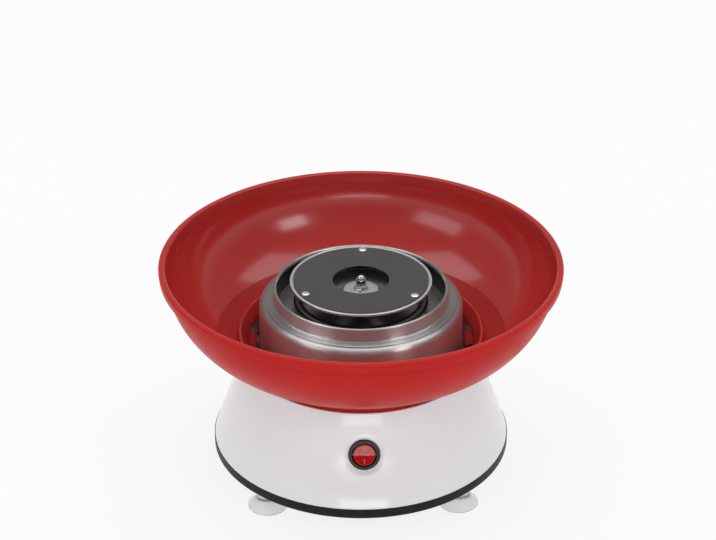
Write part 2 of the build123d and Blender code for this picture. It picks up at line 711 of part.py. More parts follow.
def head_rivet():
    """Rivet whose collar holds the disc off the flange."""
    top, under = flange_top(), flange_top() - HEAD_SHEET
    return turned(
        (0, under - RIVET_TAIL),
        (RIVET_TAIL_R, under - RIVET_TAIL),
        (RIVET_TAIL_R, under),
        (RIVET_R, under),
        (RIVET_R, top),
        (SPACER_R, top),
        (SPACER_R, top + HEAD_GAP),
        (RIVET_R, top + HEAD_GAP),
        (RIVET_R, Z_DISC),
        (RIVET_HEAD_R, Z_DISC),
        (RIVET_HEAD_R - RIVET_HEAD_TAPER, Z_DISC + RIVET_HEAD_H),
        (0, Z_DISC + RIVET_HEAD_H),
    )


def hub_end():
    """Height of the hub's lower end."""
    return boss_top() - HEAD_SHEET - HUB_SHOULDER - HUB_LENGTH


def stud_top():
    """Height of the hub's stud inside the cap nut."""
    return boss_top() + WASHER_THICK + NUT_HEIGHT + CAP_HEX_HEIGHT / 2


def head_hub():
    """Brass sleeve that slips over the motor shaft, slotted for the drive pin."""
    end = hub_end()
    shoulder = end + HUB_LENGTH
    hub = turned(
        (0, end),
        (HUB_R - HUB_CHAMFER, end),
        (HUB_R, end + HUB_CHAMFER),
        (HUB_R, shoulder),
        (HUB_SHOULDER_R, shoulder),
        (HUB_SHOULDER_R, shoulder + HUB_SHOULDER),
        (HUB_STUD_R, shoulder + HUB_SHOULDER),
        (HUB_STUD_R, stud_top()),
        (0, stud_top()),
    )
    hub -= drum(SHAFT_R + RUNNING, end, shoulder + AIR)
    slot = Box(4 * HUB_R, HUB_SLOT_WIDTH, HUB_SLOT_DEPTH, align=STANDING)
    return hub - Pos(0, 0, end) * slot


def nut_washer():
    """Washer on the cup's raised middle."""
    return ring(WASHER_R, HUB_STUD_R + SEATED, boss_top(), boss_top() + WASHER_THICK)


def lock_nut():
    """Hexagon nut that clamps the cup to the hub."""
    low = boss_top() + WASHER_THICK
    nut = extrude(RegularPolygon(NUT_FLATS / 2, 6, major_radius=False), NUT_HEIGHT)
    return Pos(0, 0, low) * nut - drum(HUB_STUD_R + SEATED, low, low + NUT_HEIGHT)


def cap_nut():
    """Domed nut that closes the stud."""
    low = boss_top() + WASHER_THICK + NUT_HEIGHT
    dome_centre = Z_DISC + CAP_TOP - CAP_DOME_R
    nut = Pos(0, 0, low) * extrude(RegularPolygon(NUT_FLATS / 2, 6, major_radius=False), CAP_HEX_HEIGHT)
    nut += drum(CAP_DOME_R, low + CAP_HEX_HEIGHT, max(dome_centre, low + CAP_HEX_HEIGHT + SEATED))
    nut += Pos(0, 0, dome_centre) * Sphere(CAP_DOME_R)
    return nut - drum(HUB_STUD_R + SEATED, low, stud_top() + SEATED)


# ------------------------------------------------------------------ motor
def pin_height():
    """Height of the drive pin: the hub's slot rests on it."""
    return hub_end() + HUB_SLOT_DEPTH - DRIVE_PIN_R - RUNNING


def motor_shaft():
    """Shaft from under the fan up into the hub, cross-drilled for the drive pin."""
    top = hub_end() + HUB_LENGTH - HUB_CHAMFER
    shaft = drum(SHAFT_R, SHAFT_END, top)
    return shaft - Pos(0, 0, pin_height()) * Rot(0, 90, 0) * Cylinder(DRIVE_PIN_R + SEATED, 4 * SHAFT_R)


def drive_pin():
    """Cross pin that turns the hub."""
    return Pos(0, 0, pin_height()) * Rot(0, 90, 0) * Cylinder(DRIVE_PIN_R, DRIVE_PIN_LENGTH)


def motor_rotor():
    """Squirrel-cage rotor with an end ring either side."""
    low, high = STACK_FOOT, STACK_FOOT + STACK_HEIGHT
    bore = SHAFT_R + SEATED
    return turned(
        (bore, low - ROTOR_RING),
        (ROTOR_R - ROTOR_RING, low - ROTOR_RING),
        (ROTOR_R - ROTOR_RING, low),
        (ROTOR_R, low),
        (ROTOR_R, high),
        (ROTOR_R - ROTOR_RING, high),
        (ROTOR_R - ROTOR_RING, high + ROTOR_RING),
        (bore, high + ROTOR_RING),
    )


def cooling_fan():
    """Fan under the motor with tilted blades on a round hub."""
    fan = drum(FAN_HUB_R, FAN_FOOT, FAN_FOOT + FAN_HEIGHT)
    reach = FAN_R - FAN_HUB_R / 2
    blade = Rot(FAN_BLADE_TILT, 0, 0) * Box(reach, FAN_HEIGHT, FAN_BLADE_THICK)
    middle = FAN_FOOT + FAN_HEIGHT / 2
    for copy in around(Pos(0, 0, middle) * blade, evenly(FAN_BLADES), FAN_R - reach / 2):
        fan += copy
    return (fan & drum(FAN_R, FAN_FOOT, FAN_FOOT + FAN_HEIGHT)) - drum(SHAFT_R + SEATED, 0, Z_LEDGE)


def bolt_holes(low, high):
    """The two holes of the motor bolts."""
    hole = drum(MOTOR_BOLT_R + SEATED, low, high)
    return [Pos(side * MOTOR_BOLT_X, 0, 0) * hole for side in (-1, 1)]


def motor_stack():
    """Laminated core with the rotor's bore, a window and the bar for the winding."""
    outline = RectangleRounded(STACK_X, STACK_FRONT + STACK_BACK, STACK_BAR / 4)
    plan = Pos(0, (STACK_BACK - STACK_FRONT) / 2) * outline
    plan -= Circle(ROTOR_R + ROTOR_AIR)
    window_back = STACK_BACK - STACK_BAR
    window_middle = (WINDOW_FRONT + window_back) / 2
    plan -= Pos(0, window_middle) * Rectangle(WINDOW_WIDTH, window_back - WINDOW_FRONT)
    stack = Pos(0, 0, STACK_FOOT) * extrude(plan, STACK_HEIGHT)
    for hole in bolt_holes(STACK_FOOT, STACK_FOOT + STACK_HEIGHT):
        stack -= hole
    return stack


def field_coil():
    """Winding round the bar of the stack."""
    centre = Pos(0, STACK_BACK - STACK_BAR / 2, STACK_FOOT + STACK_HEIGHT / 2)
    window = Box(COIL_WIDTH * 2, STACK_BAR + 2 * COIL_AIR, STACK_HEIGHT + 2 * COIL_AIR)
    block = Box(COIL_WIDTH, STACK_BAR + 2 * COIL_WALL, STACK_HEIGHT + 2 * COIL_WALL)
    block = fillet(block.edges().filter_by(Axis.X), COIL_WALL / 2)
    return centre * (block - window)


def folded_strip(points):
    """Flat strip across the motor, folded along the given (x, height) line of its underside."""
    mirrored = [(-x, z) for x, z in reversed(points)]
    under = mirrored + points
    over = [(x, z + STRIP_THICK) for x, z in reversed(under)]
    profile = Plane.XZ * make_face(Polyline(*under, *over, close=True))
    return extrude(profile, STRIP_WIDTH / 2, both=True)


def lower_strip():
    """Lower bracket: carries the stack and the lower bearing, and stands on the mounts."""
    seat = STACK_FOOT - STRIP_THICK
    foot = PILLAR_TOP + MOUNT_HEIGHT
    strip = folded_strip([
        (BEARING_FLANGE_R + STRIP_SEAT, STACK_FOOT - LOWER_DROP - STRIP_THICK),
        (MOTOR_BOLT_X - MOTOR_BOLT_HEAD_R - STRIP_EDGE, seat),
        (STACK_X / 2 - STRIP_EDGE, seat),
        (PILLAR_X - PILLAR_R + STRIP_EDGE, foot),
        (PILLAR_X + PILLAR_R, foot),
    ])
    strip -= drum(BEARING_R + SEATED, foot, STACK_FOOT)
    for hole in bolt_holes(seat - STRIP_THICK, STACK_FOOT):
        strip -= hole
    spigot = drum(PILLAR_SPIGOT_R + SEATED, foot - STRIP_THICK, foot + 2 * STRIP_THICK)
    for side in (-1, 1):
        strip -= Pos(side * PILLAR_X, 0, 0) * spigot
    return strip


def upper_strip():
    """Upper bracket: bridges the stack and holds the upper bearing."""
    seat = STACK_FOOT + STACK_HEIGHT
    strip = folded_strip([
        (BEARING_FLANGE_R + STRIP_SEAT, seat + UPPER_RISE),
        (MOTOR_BOLT_X - MOTOR_BOLT_HEAD_R - STRIP_EDGE, seat),
        (STACK_X / 2 - STRIP_EDGE, seat),
    ])
    strip -= drum(BEARING_R + SEATED, seat, seat + UPPER_RISE + 2 * STRIP_THICK)
    for hole in bolt_holes(seat - STRIP_THICK, seat + 2 * STRIP_THICK):
        strip -= hole
    return strip


def bearing(strip_top):
    """Flanged sleeve bearing that sits on a strip."""
    low = strip_top - BEARING_HEIGHT / 2
    flange = drum(BEARING_FLANGE_R, strip_top, strip_top + BEARING_FLANGE)
    body = drum(BEARING_R, low, low + BEARING_HEIGHT) + flange
    return body - drum(SHAFT_R + RUNNING, low, low + BEARING_HEIGHT)


def motor_bolt():
    """Through bolt of the motor: its head on the upper strip, its nut under the lower one."""
    low = STACK_FOOT - STRIP_THICK
    high = STACK_FOOT + STACK_HEIGHT + STRIP_THICK
    hexagon = extrude(RegularPolygon(MOTOR_BOLT_HEAD_R, 6), MOTOR_BOLT_HEAD_H)
    nut_low = low - MOTOR_BOLT_HEAD_H
    return drum(MOTOR_BOLT_R, low, high) + Pos(0, 0, high) * hexagon + Pos(0, 0, nut_low) * hexagon


def motor_mount():
    """Rubber ring between a pillar of the pan and the lower bracket."""
    return ring(MOUNT_R, PILLAR_SPIGOT_R + SEATED, PILLAR_TOP, PILLAR_TOP + MOUNT_HEIGHT)


# ------------------------------------------------------------------ switch
def pivot_plane():
    """The switch's frame moved to the rocker's pivot."""
    return switch_plane().offset(ROCKER_PIVOT)


def switch_bezel():
    """Round switch body: rim outside, barrel through the wall, pocket for the rocker."""
    rim = Cylinder(BEZEL_R, BEZEL_THICK, align=STANDING)
    rim = fillet(rim.edges().filter_by(GeomType.CIRCLE).sort_by(Axis.Z)[-1], BEZEL_ROUND)
    body = rim + Cylinder(BARREL_R, BARREL_LENGTH, align=HANGING)
    depth = POCKET_DEPTH - ROCKER_PIVOT
    pocket = Cylinder(POCKET_R, depth + BEZEL_THICK, align=STANDING)
    body -= Pos(0, 0, -depth) * pocket
    pin_hole = Cylinder(ROCKER_PIN_R + SEATED, ROCKER_PIN_LENGTH + SEATED)
    body -= Pos(0, 0, ROCKER_PIVOT) * Rot(0, 90, 0) * pin_hole
    for side in (-1, 1):
        slit = Box(TERMINAL_WIDTH + SEATED, TERMINAL_THICK + SEATED, TERMINAL_LENGTH / 2)
        body -= Pos(0, side * TERMINAL_X, -BARREL_LENGTH + TERMINAL_LENGTH / 4) * slit
    return switch_plane() * body


def switch_rocker():
    """Round rocker with a shallow V face, the upper half pressed in at rest."""
    rise = ROCKER_FACE + ROCKER_R * math.tan(math.radians(ROCKER_WING))
    section = Plane.YZ * make_face(Polyline(
        (-ROCKER_R, -ROCKER_BACK),
        (ROCKER_R, -ROCKER_BACK),
        (ROCKER_R, rise),
        (0, ROCKER_FACE),
        (-ROCKER_R, rise),
        close=True,
    ))
    rocker = extrude(section, ROCKER_R, both=True) & Sphere(ROCKER_R)
    rocker -= Rot(0, 90, 0) * Cylinder(ROCKER_PIN_R + RUNNING, 4 * ROCKER_R)
    return pivot_plane() * Rot(-ROCKER_WING, 0, 0) * rocker


def rocker_pin():
    """Pin that the rocker tips about."""
    return pivot_plane() * Rot(0, 90, 0) * Cylinder(ROCKER_PIN_R, ROCKER_PIN_LENGTH)


def switch_terminal(side):
    """Tab at the back of the switch."""
    length = TERMINAL_LENGTH * 1.5
    tab = Box(TERMINAL_WIDTH, TERMINAL_THICK, length, align=HANGING)
    return switch_plane() * Pos(0, side * TERMINAL_X, -BARREL_LENGTH + TERMINAL_LENGTH / 2) * tab


# ------------------------------------------------------------------ cord inlet and terminals
def cord_gland():
    """Gland that the mains cord enters through, with a snap ring behind the wall."""
    gland = Cylinder(GLAND_FLANGE_R, GLAND_FLANGE, align=STANDING)
    gland = fillet(gland.edges().filter_by(GeomType.CIRCLE).sort_by(Axis.Z)[-1], GLAND_FLANGE / 3)
    gland += Cylinder(GLAND_R, GLAND_LENGTH, align=HANGING)
    snap = Cylinder(GLAND_R + GLAND_SNAP, GLAND_FLANGE / 2, align=STANDING)
    gland += Pos(0, 0, -GLAND_LENGTH) * snap
    return inlet_plane() * (gland - Cylinder(GLAND_BORE_R, 4 * GLAND_LENGTH))


def terminal_block():
    """Three-way terminal block on the pan."""
    length, width, height = BLOCK_SIZE
    turn = math.radians(BLOCK_ANGLE)
    low = Pos(BLOCK_CIRCLE * math.cos(turn), BLOCK_CIRCLE * math.sin(turn), Z_PAN + PAN_FLOOR)
    block = Box(length, width, height, align=STANDING)
    for way in range(BLOCK_WAYS):
        place = length * ((way + 0.5) / BLOCK_WAYS - 0.5)
        block -= Pos(place, 0, height) * Cylinder(BLOCK_HOLE_R, height)
    return low * block


# ------------------------------------------------------------------ bowl
def bowl_curve(start_r, wall):
    """Superellipse of the bowl's side from a radius near its foot up to the rim, inside by a wall."""
    low = Z_LEDGE + SKIRT_RISE
    high = Z_LEDGE + BOWL_RISE - RIM_DROP
    across = BODY_R - SKIRT_R - wall
    down = high - low - wall
    first = math.acos(((start_r - SKIRT_R) / across) ** (BOWL_POWER / 2))
    points = []
    for step in range(CURVE_POINTS):
        turn = first * (1 - step / (CURVE_POINTS - 1))
        radius = SKIRT_R + across * math.cos(turn) ** (2 / BOWL_POWER)
        points.append((radius, high - down * math.sin(turn) ** (2 / BOWL_POWER)))
    return points


def bowl():
    """Catching bowl: skirt, crease, curved side, thick rim, raised lip and four lugs."""
    skirt = Z_LEDGE
    crest = skirt + CREST_RISE
    rim = skirt + BOWL_RISE
    inner_r = SKIRT_R - SKIRT_WALL
    outside = bowl_curve(CREASE_R, 0)
    inside = bowl_curve(CREST_R + CREST_THICK, BOWL_WALL)
    crease = outside[0][1]
    lower = Polyline(
        (inner_r, skirt + SLOPE_FOOT),
        (inner_r, skirt),
        (SKIRT_R, skirt),
        (SKIRT_R, crease - 2 * CREASE_BEAD),
        (CREASE_R - CREASE_BEAD, crease - CREASE_BEAD),
        outside[0],
    )
    rim_line = FilletPolyline(
        outside[-1],
        (BOWL_R - RIM_DRAFT, rim - RIM_DROP),
        (BOWL_R, rim),
        (BOWL_R - RIM_WIDTH, rim),
        inside[-1],
        radius=[RIM_DRAFT, RIM_ROUND, RIM_ROUND],
    )
    lip = FilletPolyline(
        inside[0],
        (CREST_R + CREST_THICK / 2, crest),
        (CREST_R - CREST_THICK / 4, crest),
        (inner_r, skirt + SLOPE_FOOT),
        radius=[CREST_THICK / 4, CREST_THICK / 6],
    )
    profile = Plane.XZ * make_face(lower + Spline(*outside) + rim_line + Spline(*reversed(inside)) + lip)
    shape = revolve(profile, Axis.Z)
    lug = [
        (LUG_R, skirt + LUG_FOOT),
        (inner_r + SKIRT_WALL / 2, skirt + LUG_FOOT),
        (inner_r + SKIRT_WALL / 2, skirt + LUG_TOP),
        (inner_r, skirt + LUG_TOP),
        (LUG_R, skirt + LUG_TOP - (inner_r - LUG_R) / 2),
    ]
    for angle in evenly(SLOT_COUNT, SLOT_FIRST):
        shape += sector(lug, LUG_WIDTH, LUG_R, angle)
    return shape


# ------------------------------------------------------------------ the parts
def numbered(name, shapes):
    """Names for a pattern of equal pieces."""
    return {f"{name}_{index}": shape for index, shape in enumerate(shapes, 1)}


def all_parts():
    """Every piece of the machine by name."""
    low_strip_top = STACK_FOOT - LOWER_DROP
    high_strip_top = STACK_FOOT + STACK_HEIGHT + UPPER_RISE + STRIP_THICK
    sides = (-1, 1)
    ledge_angles = evenly(LEDGE_SCREWS, LEDGE_SCREW_FIRST)
    post_angles = evenly(FLOOR_POST_COUNT, FLOOR_POST_FIRST)
    parts = {
        "bowl": bowl(),
        "housing_shell": housing_shell(),
        "base_pan": base_pan(),
        "steel_band": steel_band(),
        "neck_ring": neck_ring(),
        "collar_liner": collar_liner(),
        "chamber_floor": chamber_floor(),
        "heat_shield": heat_shield(),
        "heater_ring": heater_ring(),
        "thermal_cutout": thermal_cutout(),
        "head_disc": head_disc(),
        "head_cup": head_cup(),
        "head_hub": head_hub(),
        "nut_washer": nut_washer(),
        "lock_nut": lock_nut(),
        "cap_nut": cap_nut(),
        "motor_shaft": motor_shaft(),
        "drive_pin": drive_pin(),
        "motor_rotor": motor_rotor(),
        "cooling_fan": cooling_fan(),
        "motor_stack": motor_stack(),
        "field_coil": field_coil(),
        "lower_strip": lower_strip(),
        "upper_strip": upper_strip(),
        "lower_bearing": bearing(low_strip_top),
        "upper_bearing": bearing(high_strip_top),
        "switch_bezel": switch_bezel(),
        "switch_rocker": switch_rocker(),
        "rocker_pin": rocker_pin(),
        "cord_gland": cord_gland(),
        "terminal_block": terminal_block(),
    }
    parts |= numbered("suction_foot", around(suction_foot(), FOOT_ANGLES, FOOT_CIRCLE))
    parts |= numbered("cover_screw", around(cover_screw(), COVER_SCREW_ANGLES, COVER_SCREW_CIRCLE))
    parts |= numbered("ledge_screw", around(ledge_screw(), ledge_angles, LEDGE_SCREW_CIRCLE))
    parts |= numbered("floor_post", around(floor_post(), post_angles, FLOOR_POST_CIRCLE))
    parts |= numbered("heater_clip", around(heater_clip(), evenly(CLIP_COUNT, CLIP_FIRST)))
    parts |= numbered("head_rivet", around(head_rivet(), evenly(RIVET_COUNT, RIVET_FIRST), RIVET_CIRCLE))
    parts |= numbered("motor_bolt", [Pos(side * MOTOR_BOLT_X, 0, 0) * motor_bolt() for side in sides])
    parts |= numbered("motor_mount", [Pos(side * PILLAR_X, 0, 0) * motor_mount() for side in sides])
    parts |= numbered("switch_terminal", [switch_terminal(side) for side in sides])
    return parts


os.makedirs("parts", exist_ok=True)
for part_name, part_shape in all_parts().items():
    export_step(part_shape, f"parts/{part_name}.step")
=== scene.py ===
"""Looks of the cotton candy machine: finishes and finely made surfaces over the fixed frame.

The machine stands put together: base with its steel collar, bowl on the ledge, spinning head over
the heated chamber. Sizes are millimetres; meshes are built in metres.
"""

from __future__ import annotations

import logging
import math
from collections.abc import Callable
from dataclasses import dataclass, field
from enum import Enum

import bmesh
import bpy
import numpy as np
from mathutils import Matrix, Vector

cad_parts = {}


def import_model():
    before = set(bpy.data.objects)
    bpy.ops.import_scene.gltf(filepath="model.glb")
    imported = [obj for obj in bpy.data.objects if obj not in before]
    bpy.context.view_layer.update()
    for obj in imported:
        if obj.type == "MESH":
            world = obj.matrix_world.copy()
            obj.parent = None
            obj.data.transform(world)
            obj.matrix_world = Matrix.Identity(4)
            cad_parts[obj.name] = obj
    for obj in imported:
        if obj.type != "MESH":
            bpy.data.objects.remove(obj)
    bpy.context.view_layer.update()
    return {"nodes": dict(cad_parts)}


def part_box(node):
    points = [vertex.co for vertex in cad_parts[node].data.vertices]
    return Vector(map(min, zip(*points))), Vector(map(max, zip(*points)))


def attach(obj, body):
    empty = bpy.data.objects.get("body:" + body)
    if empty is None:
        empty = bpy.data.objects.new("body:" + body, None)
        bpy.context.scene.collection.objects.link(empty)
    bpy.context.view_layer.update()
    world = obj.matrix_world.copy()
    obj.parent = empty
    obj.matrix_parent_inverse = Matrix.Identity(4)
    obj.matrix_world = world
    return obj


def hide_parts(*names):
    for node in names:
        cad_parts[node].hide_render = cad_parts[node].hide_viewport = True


LOG = logging.getLogger("cotton_candy_machine")
MM = 0.001
ROUND = 256                    # steps round the large turned pieces
SMALL_ROUND = 64               # steps round the small ones
SHARP = math.radians(38)       # edges that turn more than this stay crisp

Array = np.ndarray
Colour = tuple[float, float, float]


# ---------------------------------------------------------------- outlines
def rounded(points: list[tuple[float, float]], radii: list[float], steps: int = 6) -> Array:
    """Polyline whose inner corners are replaced by arcs.

    At a corner with half turn t the arc of radius q starts q*tan(t) before the corner and ends as
    far after it; its points are the corner's bisector circle swept evenly.

    Args:
        points: Corners as (radius, height).
        radii: One rounding radius for each corner; the two ends take none.
        steps: Pieces of each arc.

    Returns:
        Array of shape (n, 2).
    """
    corners = np.asarray(points, float)
    out = [corners[:1]]
    for before, corner, after, radius in zip(corners, corners[1:], corners[2:], radii[1:]):
        into = (corner - before) / np.linalg.norm(corner - before)
        away = (after - corner) / np.linalg.norm(after - corner)
        turn = math.atan2(into[0] * away[1] - into[1] * away[0], float(into @ away))
        if radius <= 0 or abs(turn) < 1e-4:
            out.append(corner[None])
            continue
        start = corner - into * radius * math.tan(abs(turn) / 2)
        side = np.array([-into[1], into[0]]) * math.copysign(1, turn)
        centre = start + side * radius
        angle = np.linspace(0, turn, steps + 1)[:, None]
        spoke = start - centre
        crosswise = np.array([-spoke[1], spoke[0]])
        out.append(centre + spoke * np.cos(angle) + crosswise * np.sin(angle))
    out.append(corners[-1:])
    return np.vstack(out)


def rounded_loop(points: list[tuple[float, float]], radii: list[float], steps: int = 6) -> Array:
    """Closed outline with every corner rounded.

    Args:
        points: Corners as (radius, height), in order.
        radii: One rounding radius for each corner.
        steps: Pieces of each arc.

    Returns:
        Array of shape (n, 2) without a repeated first point.
    """
    line = rounded([points[-1], *points, points[0]], [0, *radii, 0], steps)
    return line[1:-1]


def denser(line: Array, longest: float) -> Array:
    """Adds evenly spaced points to stretches of a polyline that are longer than a given length."""
    out = [line[:1]]
    for a, b in zip(line, line[1:]):
        pieces = max(1, int(math.ceil(np.linalg.norm(b - a) / longest)))
        share = np.linspace(0, 1, pieces + 1)[1:, None]
        out.append(a + (b - a) * share)
    return np.vstack(out)


def smoothstep(low: float, high: float, value: Array) -> Array:
    """Eases from 0 to 1 between two values: 3t^2 - 2t^3 of the clamped share t."""
    t = np.clip((value - low) / (high - low), 0, 1)
    return t * t * (3 - 2 * t)


def evenly(count: int, first: float = 0.0) -> Array:
    """Angles in degrees of a pattern of that many copies."""
    return first + 360.0 * np.arange(count) / count


# ---------------------------------------------------------------- surfaces
def turned(profile: Array, steps: int = ROUND) -> Array:
    """Surface of revolution about Z: x = r cos a, y = r sin a, z = h for each angle a.

    Args:
        profile: (radius, height) points.
        steps: Angles round the axis.

    Returns:
        Grid of shape (steps, points, 3).
    """
    angle = np.linspace(0, 2 * math.pi, steps, endpoint=False)
    return swept_radii(angle, np.broadcast_to(profile[:, 0], (steps, len(profile))), profile[:, 1])


def swept_radii(angle: Array, radius: Array, height: Array) -> Array:
    """Surface whose radius may change with the angle: x = r(a, h) cos a, y = r(a, h) sin a."""
    grid = np.empty(radius.shape + (3,))
    grid[..., 0] = radius * np.cos(angle)[:, None]
    grid[..., 1] = radius * np.sin(angle)[:, None]
    grid[..., 2] = height
    return grid


def tube(path: Array, radius: float, around: int = 24) -> Array:
    """Round tube along an open path: each ring lies in the plane of the path's normal and binormal.

    The frame is carried from one point to the next by removing from the last normal its share
    along the new tangent, so the rings don't twist.
    """
    tangent = np.gradient(path, axis=0)
    tangent /= np.linalg.norm(tangent, axis=1, keepdims=True)
    normal = np.empty_like(path)
    last = np.array([0.0, 0.0, 1.0]) if abs(tangent[0][2]) < 0.9 else np.array([1.0, 0.0, 0.0])
    for step, direction in enumerate(tangent):
        last = last - direction * (last @ direction)
        last = last / np.linalg.norm(last)
        normal[step] = last
    across = np.cross(tangent, normal)
    turn = np.linspace(0, 2 * math.pi, around, endpoint=False)[None, :, None]
    ring = normal[:, None] * np.cos(turn) + across[:, None] * np.sin(turn)
    return path[:, None] + radius * ring


def moved(grid: Array, place: Array, axes: Array) -> Array:
    """Carries a grid from a local frame, whose axes are the rows of a 3 by 3 array, to its place."""
    return grid @ axes + place


def grid_faces(rows: int, cols: int, wrap_rows: bool, wrap_cols: bool, first: int = 0) -> Array:
    """Quads of a grid whose rows or columns may close on themselves.

    Args:
        rows: Points along the first parameter.
        cols: Points along the second parameter.
        wrap_rows: Whether the last row joins the first.
        wrap_cols: Whether the last column joins the first.
        first: Index of the grid's first point.

    Returns:
        Array of shape (faces, 4).
    """
    r = np.arange(rows if wrap_rows else rows - 1)[:, None]
    c = np.arange(cols if wrap_cols else cols - 1)[None, :]
    r2, c2 = (r + 1) % rows, (c + 1) % cols
    quads = np.stack([r * cols + c, r2 * cols + c, r2 * cols + c2, r * cols + c2], -1)
    return quads.reshape(-1, 4) + first


@dataclass(frozen=True)
class Sheet:
    """One grid of a mesh and how it closes."""

    grid: Array
    wrap_rows: bool = True
    wrap_cols: bool = False


def mesh_object(name: str, sheets: list[Sheet], closed: bool = True) -> bpy.types.Object:
    """Makes one object, in metres, from grids in millimetres.

    Args:
        name: Name of the object.
        sheets: The grids, welded where they meet.
        closed: Whether the shells are closed, so that their normals can be turned outwards.

    Returns:
        The new object, linked to the scene, at the origin.
    """
    points = np.vstack([s.grid.reshape(-1, 3) for s in sheets]) * MM
    faces, first = [], 0
    for s in sheets:
        rows, cols = s.grid.shape[:2]
        faces.append(grid_faces(rows, cols, s.wrap_rows, s.wrap_cols, first))
        first += rows * cols
    mesh = bpy.data.meshes.new(name)
    mesh.from_pydata(points.tolist(), [], np.vstack(faces).tolist())
    work = bmesh.new()
    work.from_mesh(mesh)
    bmesh.ops.remove_doubles(work, verts=work.verts, dist=1e-7)
    bmesh.ops.dissolve_degenerate(work, edges=work.edges, dist=1e-8)
    if closed:
        bmesh.ops.recalc_face_normals(work, faces=work.faces)
    work.to_mesh(mesh)
    work.free()
    mesh.shade_smooth()
    mesh.set_sharp_from_angle(angle=SHARP)
    obj = bpy.data.objects.new(name, mesh)
    bpy.context.scene.collection.objects.link(obj)
    return obj


def lathe(name: str, profile: Array, steps: int = ROUND, loop: bool = True) -> bpy.types.Object:
    """Closed turned object from a profile that is a loop, or that starts and ends on the axis."""
    return mesh_object(name, [Sheet(turned(profile, steps), True, loop)])


def baked(obj: bpy.types.Object) -> bpy.types.Object:
    """Applies an object's modifiers to its mesh."""
    bpy.context.view_layer.update()
    evaluated = obj.evaluated_get(bpy.context.evaluated_depsgraph_get())
    mesh = bpy.data.meshes.new_from_object(evaluated)
    obj.modifiers.clear()
    old, obj.data = obj.data, mesh
    mesh.name = obj.name
    bpy.data.meshes.remove(old)
    mesh.shade_smooth()
    mesh.set_sharp_from_angle(angle=SHARP)
    return obj


def cut(obj: bpy.types.Object, tools: list[bpy.types.Object]) -> bpy.types.Object:
    """Subtracts closed tools from a closed object and removes them."""
    for tool in tools:
        modifier = obj.modifiers.new("cut", "BOOLEAN")
        modifier.operation = "DIFFERENCE"
        modifier.solver = "EXACT"
        modifier.object = tool
    baked(obj)
    for tool in tools:
        mesh = tool.data
        bpy.data.objects.remove(tool)
        bpy.data.meshes.remove(mesh)
    return obj


# ---------------------------------------------------------------- finishes
class Shader:
    """Small writer for a material's nodes, with a Principled shader at its end."""

    def __init__(self, name: str) -> None:
        """Starts an empty material of that name."""
        self.material = bpy.data.materials.new(name)
        self.material.use_nodes = True
        self.nodes = self.material.node_tree.nodes
        self.links = self.material.node_tree.links
        self.nodes.clear()
        self.output = self.nodes.new("ShaderNodeOutputMaterial")
        self.surface = self.nodes.new("ShaderNodeBsdfPrincipled")
        self.links.new(self.surface.outputs[0], self.output.inputs["Surface"])
        self.place = self.nodes.new("ShaderNodeTexCoord").outputs["Object"]

    def set(self, **values: object) -> None:
        """Sets the shader's own sockets; a name's underscores stand for spaces."""
        for key, value in values.items():
            self.surface.inputs[key.replace("_", " ")].default_value = value

    def add(self, kind: str, inputs: dict | None = None, **settings: object) -> bpy.types.Node:
        """Adds a node, sets its properties and fills or links its inputs."""
        node = self.nodes.new(kind)
        for key, value in settings.items():
            setattr(node, key, value)
        for key, value in (inputs or {}).items():
            if isinstance(value, bpy.types.NodeSocket):
                self.links.new(value, node.inputs[key])
            else:
                node.inputs[key].default_value = value
        return node

    def math(self, operation: str, a: object, b: object = 0.0) -> bpy.types.NodeSocket:
        """Result of a math node on two numbers or sockets."""
        return self.add("ShaderNodeMath", {0: a, 1: b}, operation=operation).outputs[0]

    def noise(self, scale: float, detail: float = 2.0, vector: object = None) -> bpy.types.NodeSocket:
        """Soft noise of a scale per metre, on object coordinates unless a vector is given."""
        inputs = {"Vector": vector or self.place, "Scale": scale, "Detail": detail}
        return self.add("ShaderNodeTexNoise", inputs).outputs[0]

    def spread(self, value: object, low: float, high: float) -> bpy.types.NodeSocket:
        """Maps a noise, whose values lie between 0.3 and 0.7, to a range."""
        inputs = {0: value, 1: 0.3, 2: 0.7, 3: low, 4: high}
        return self.add("ShaderNodeMapRange", inputs).outputs[0]

    def blend(self, share: object, a: Colour, b: Colour) -> bpy.types.NodeSocket:
        """Colour between two colours by a share."""
        node = self.add("ShaderNodeMix", {0: share}, data_type="RGBA")
        node.inputs[6].default_value = (*a, 1)
        node.inputs[7].default_value = (*b, 1)
        return node.outputs[2]

    def colour(self, socket: object) -> None:
        """Links a colour to the shader."""
        self.links.new(socket, self.surface.inputs["Base Color"])

    def roughness(self, socket: object) -> None:
        """Links a roughness to the shader."""
        self.links.new(socket, self.surface.inputs["Roughness"])

    def bump(self, height: object, strength: float, depth: float) -> None:
        """Bump of a depth in metres from a height between 0 and 1."""
        inputs = {"Height": height, "Strength": strength, "Distance": depth}
        node = self.add("ShaderNodeBump", inputs)
        self.links.new(node.outputs[0], self.surface.inputs["Normal"])

    def streaks(self, fine: float, along: float) -> bpy.types.NodeSocket:
        """Noise drawn out round the Z axis.

        It is read at (x / r * along, y / r * along, (r + z) * fine), where r is the distance from
        the axis, so that it changes fast across the turning marks and slowly along them.
        """
        split = self.add("ShaderNodeSeparateXYZ", {0: self.place})
        x, y, z = split.outputs
        squares = self.math("ADD", self.math("MULTIPLY", x, x), self.math("MULTIPLY", y, y))
        r = self.math("MAXIMUM", self.math("SQRT", squares), 1e-5)
        vector = self.add("ShaderNodeCombineXYZ", {
            0: self.math("MULTIPLY", self.math("DIVIDE", x, r), along),
            1: self.math("MULTIPLY", self.math("DIVIDE", y, r), along),
            2: self.math("MULTIPLY", self.math("ADD", r, z), fine),
        })
        return self.noise(1.0, 3.0, vector.outputs[0])


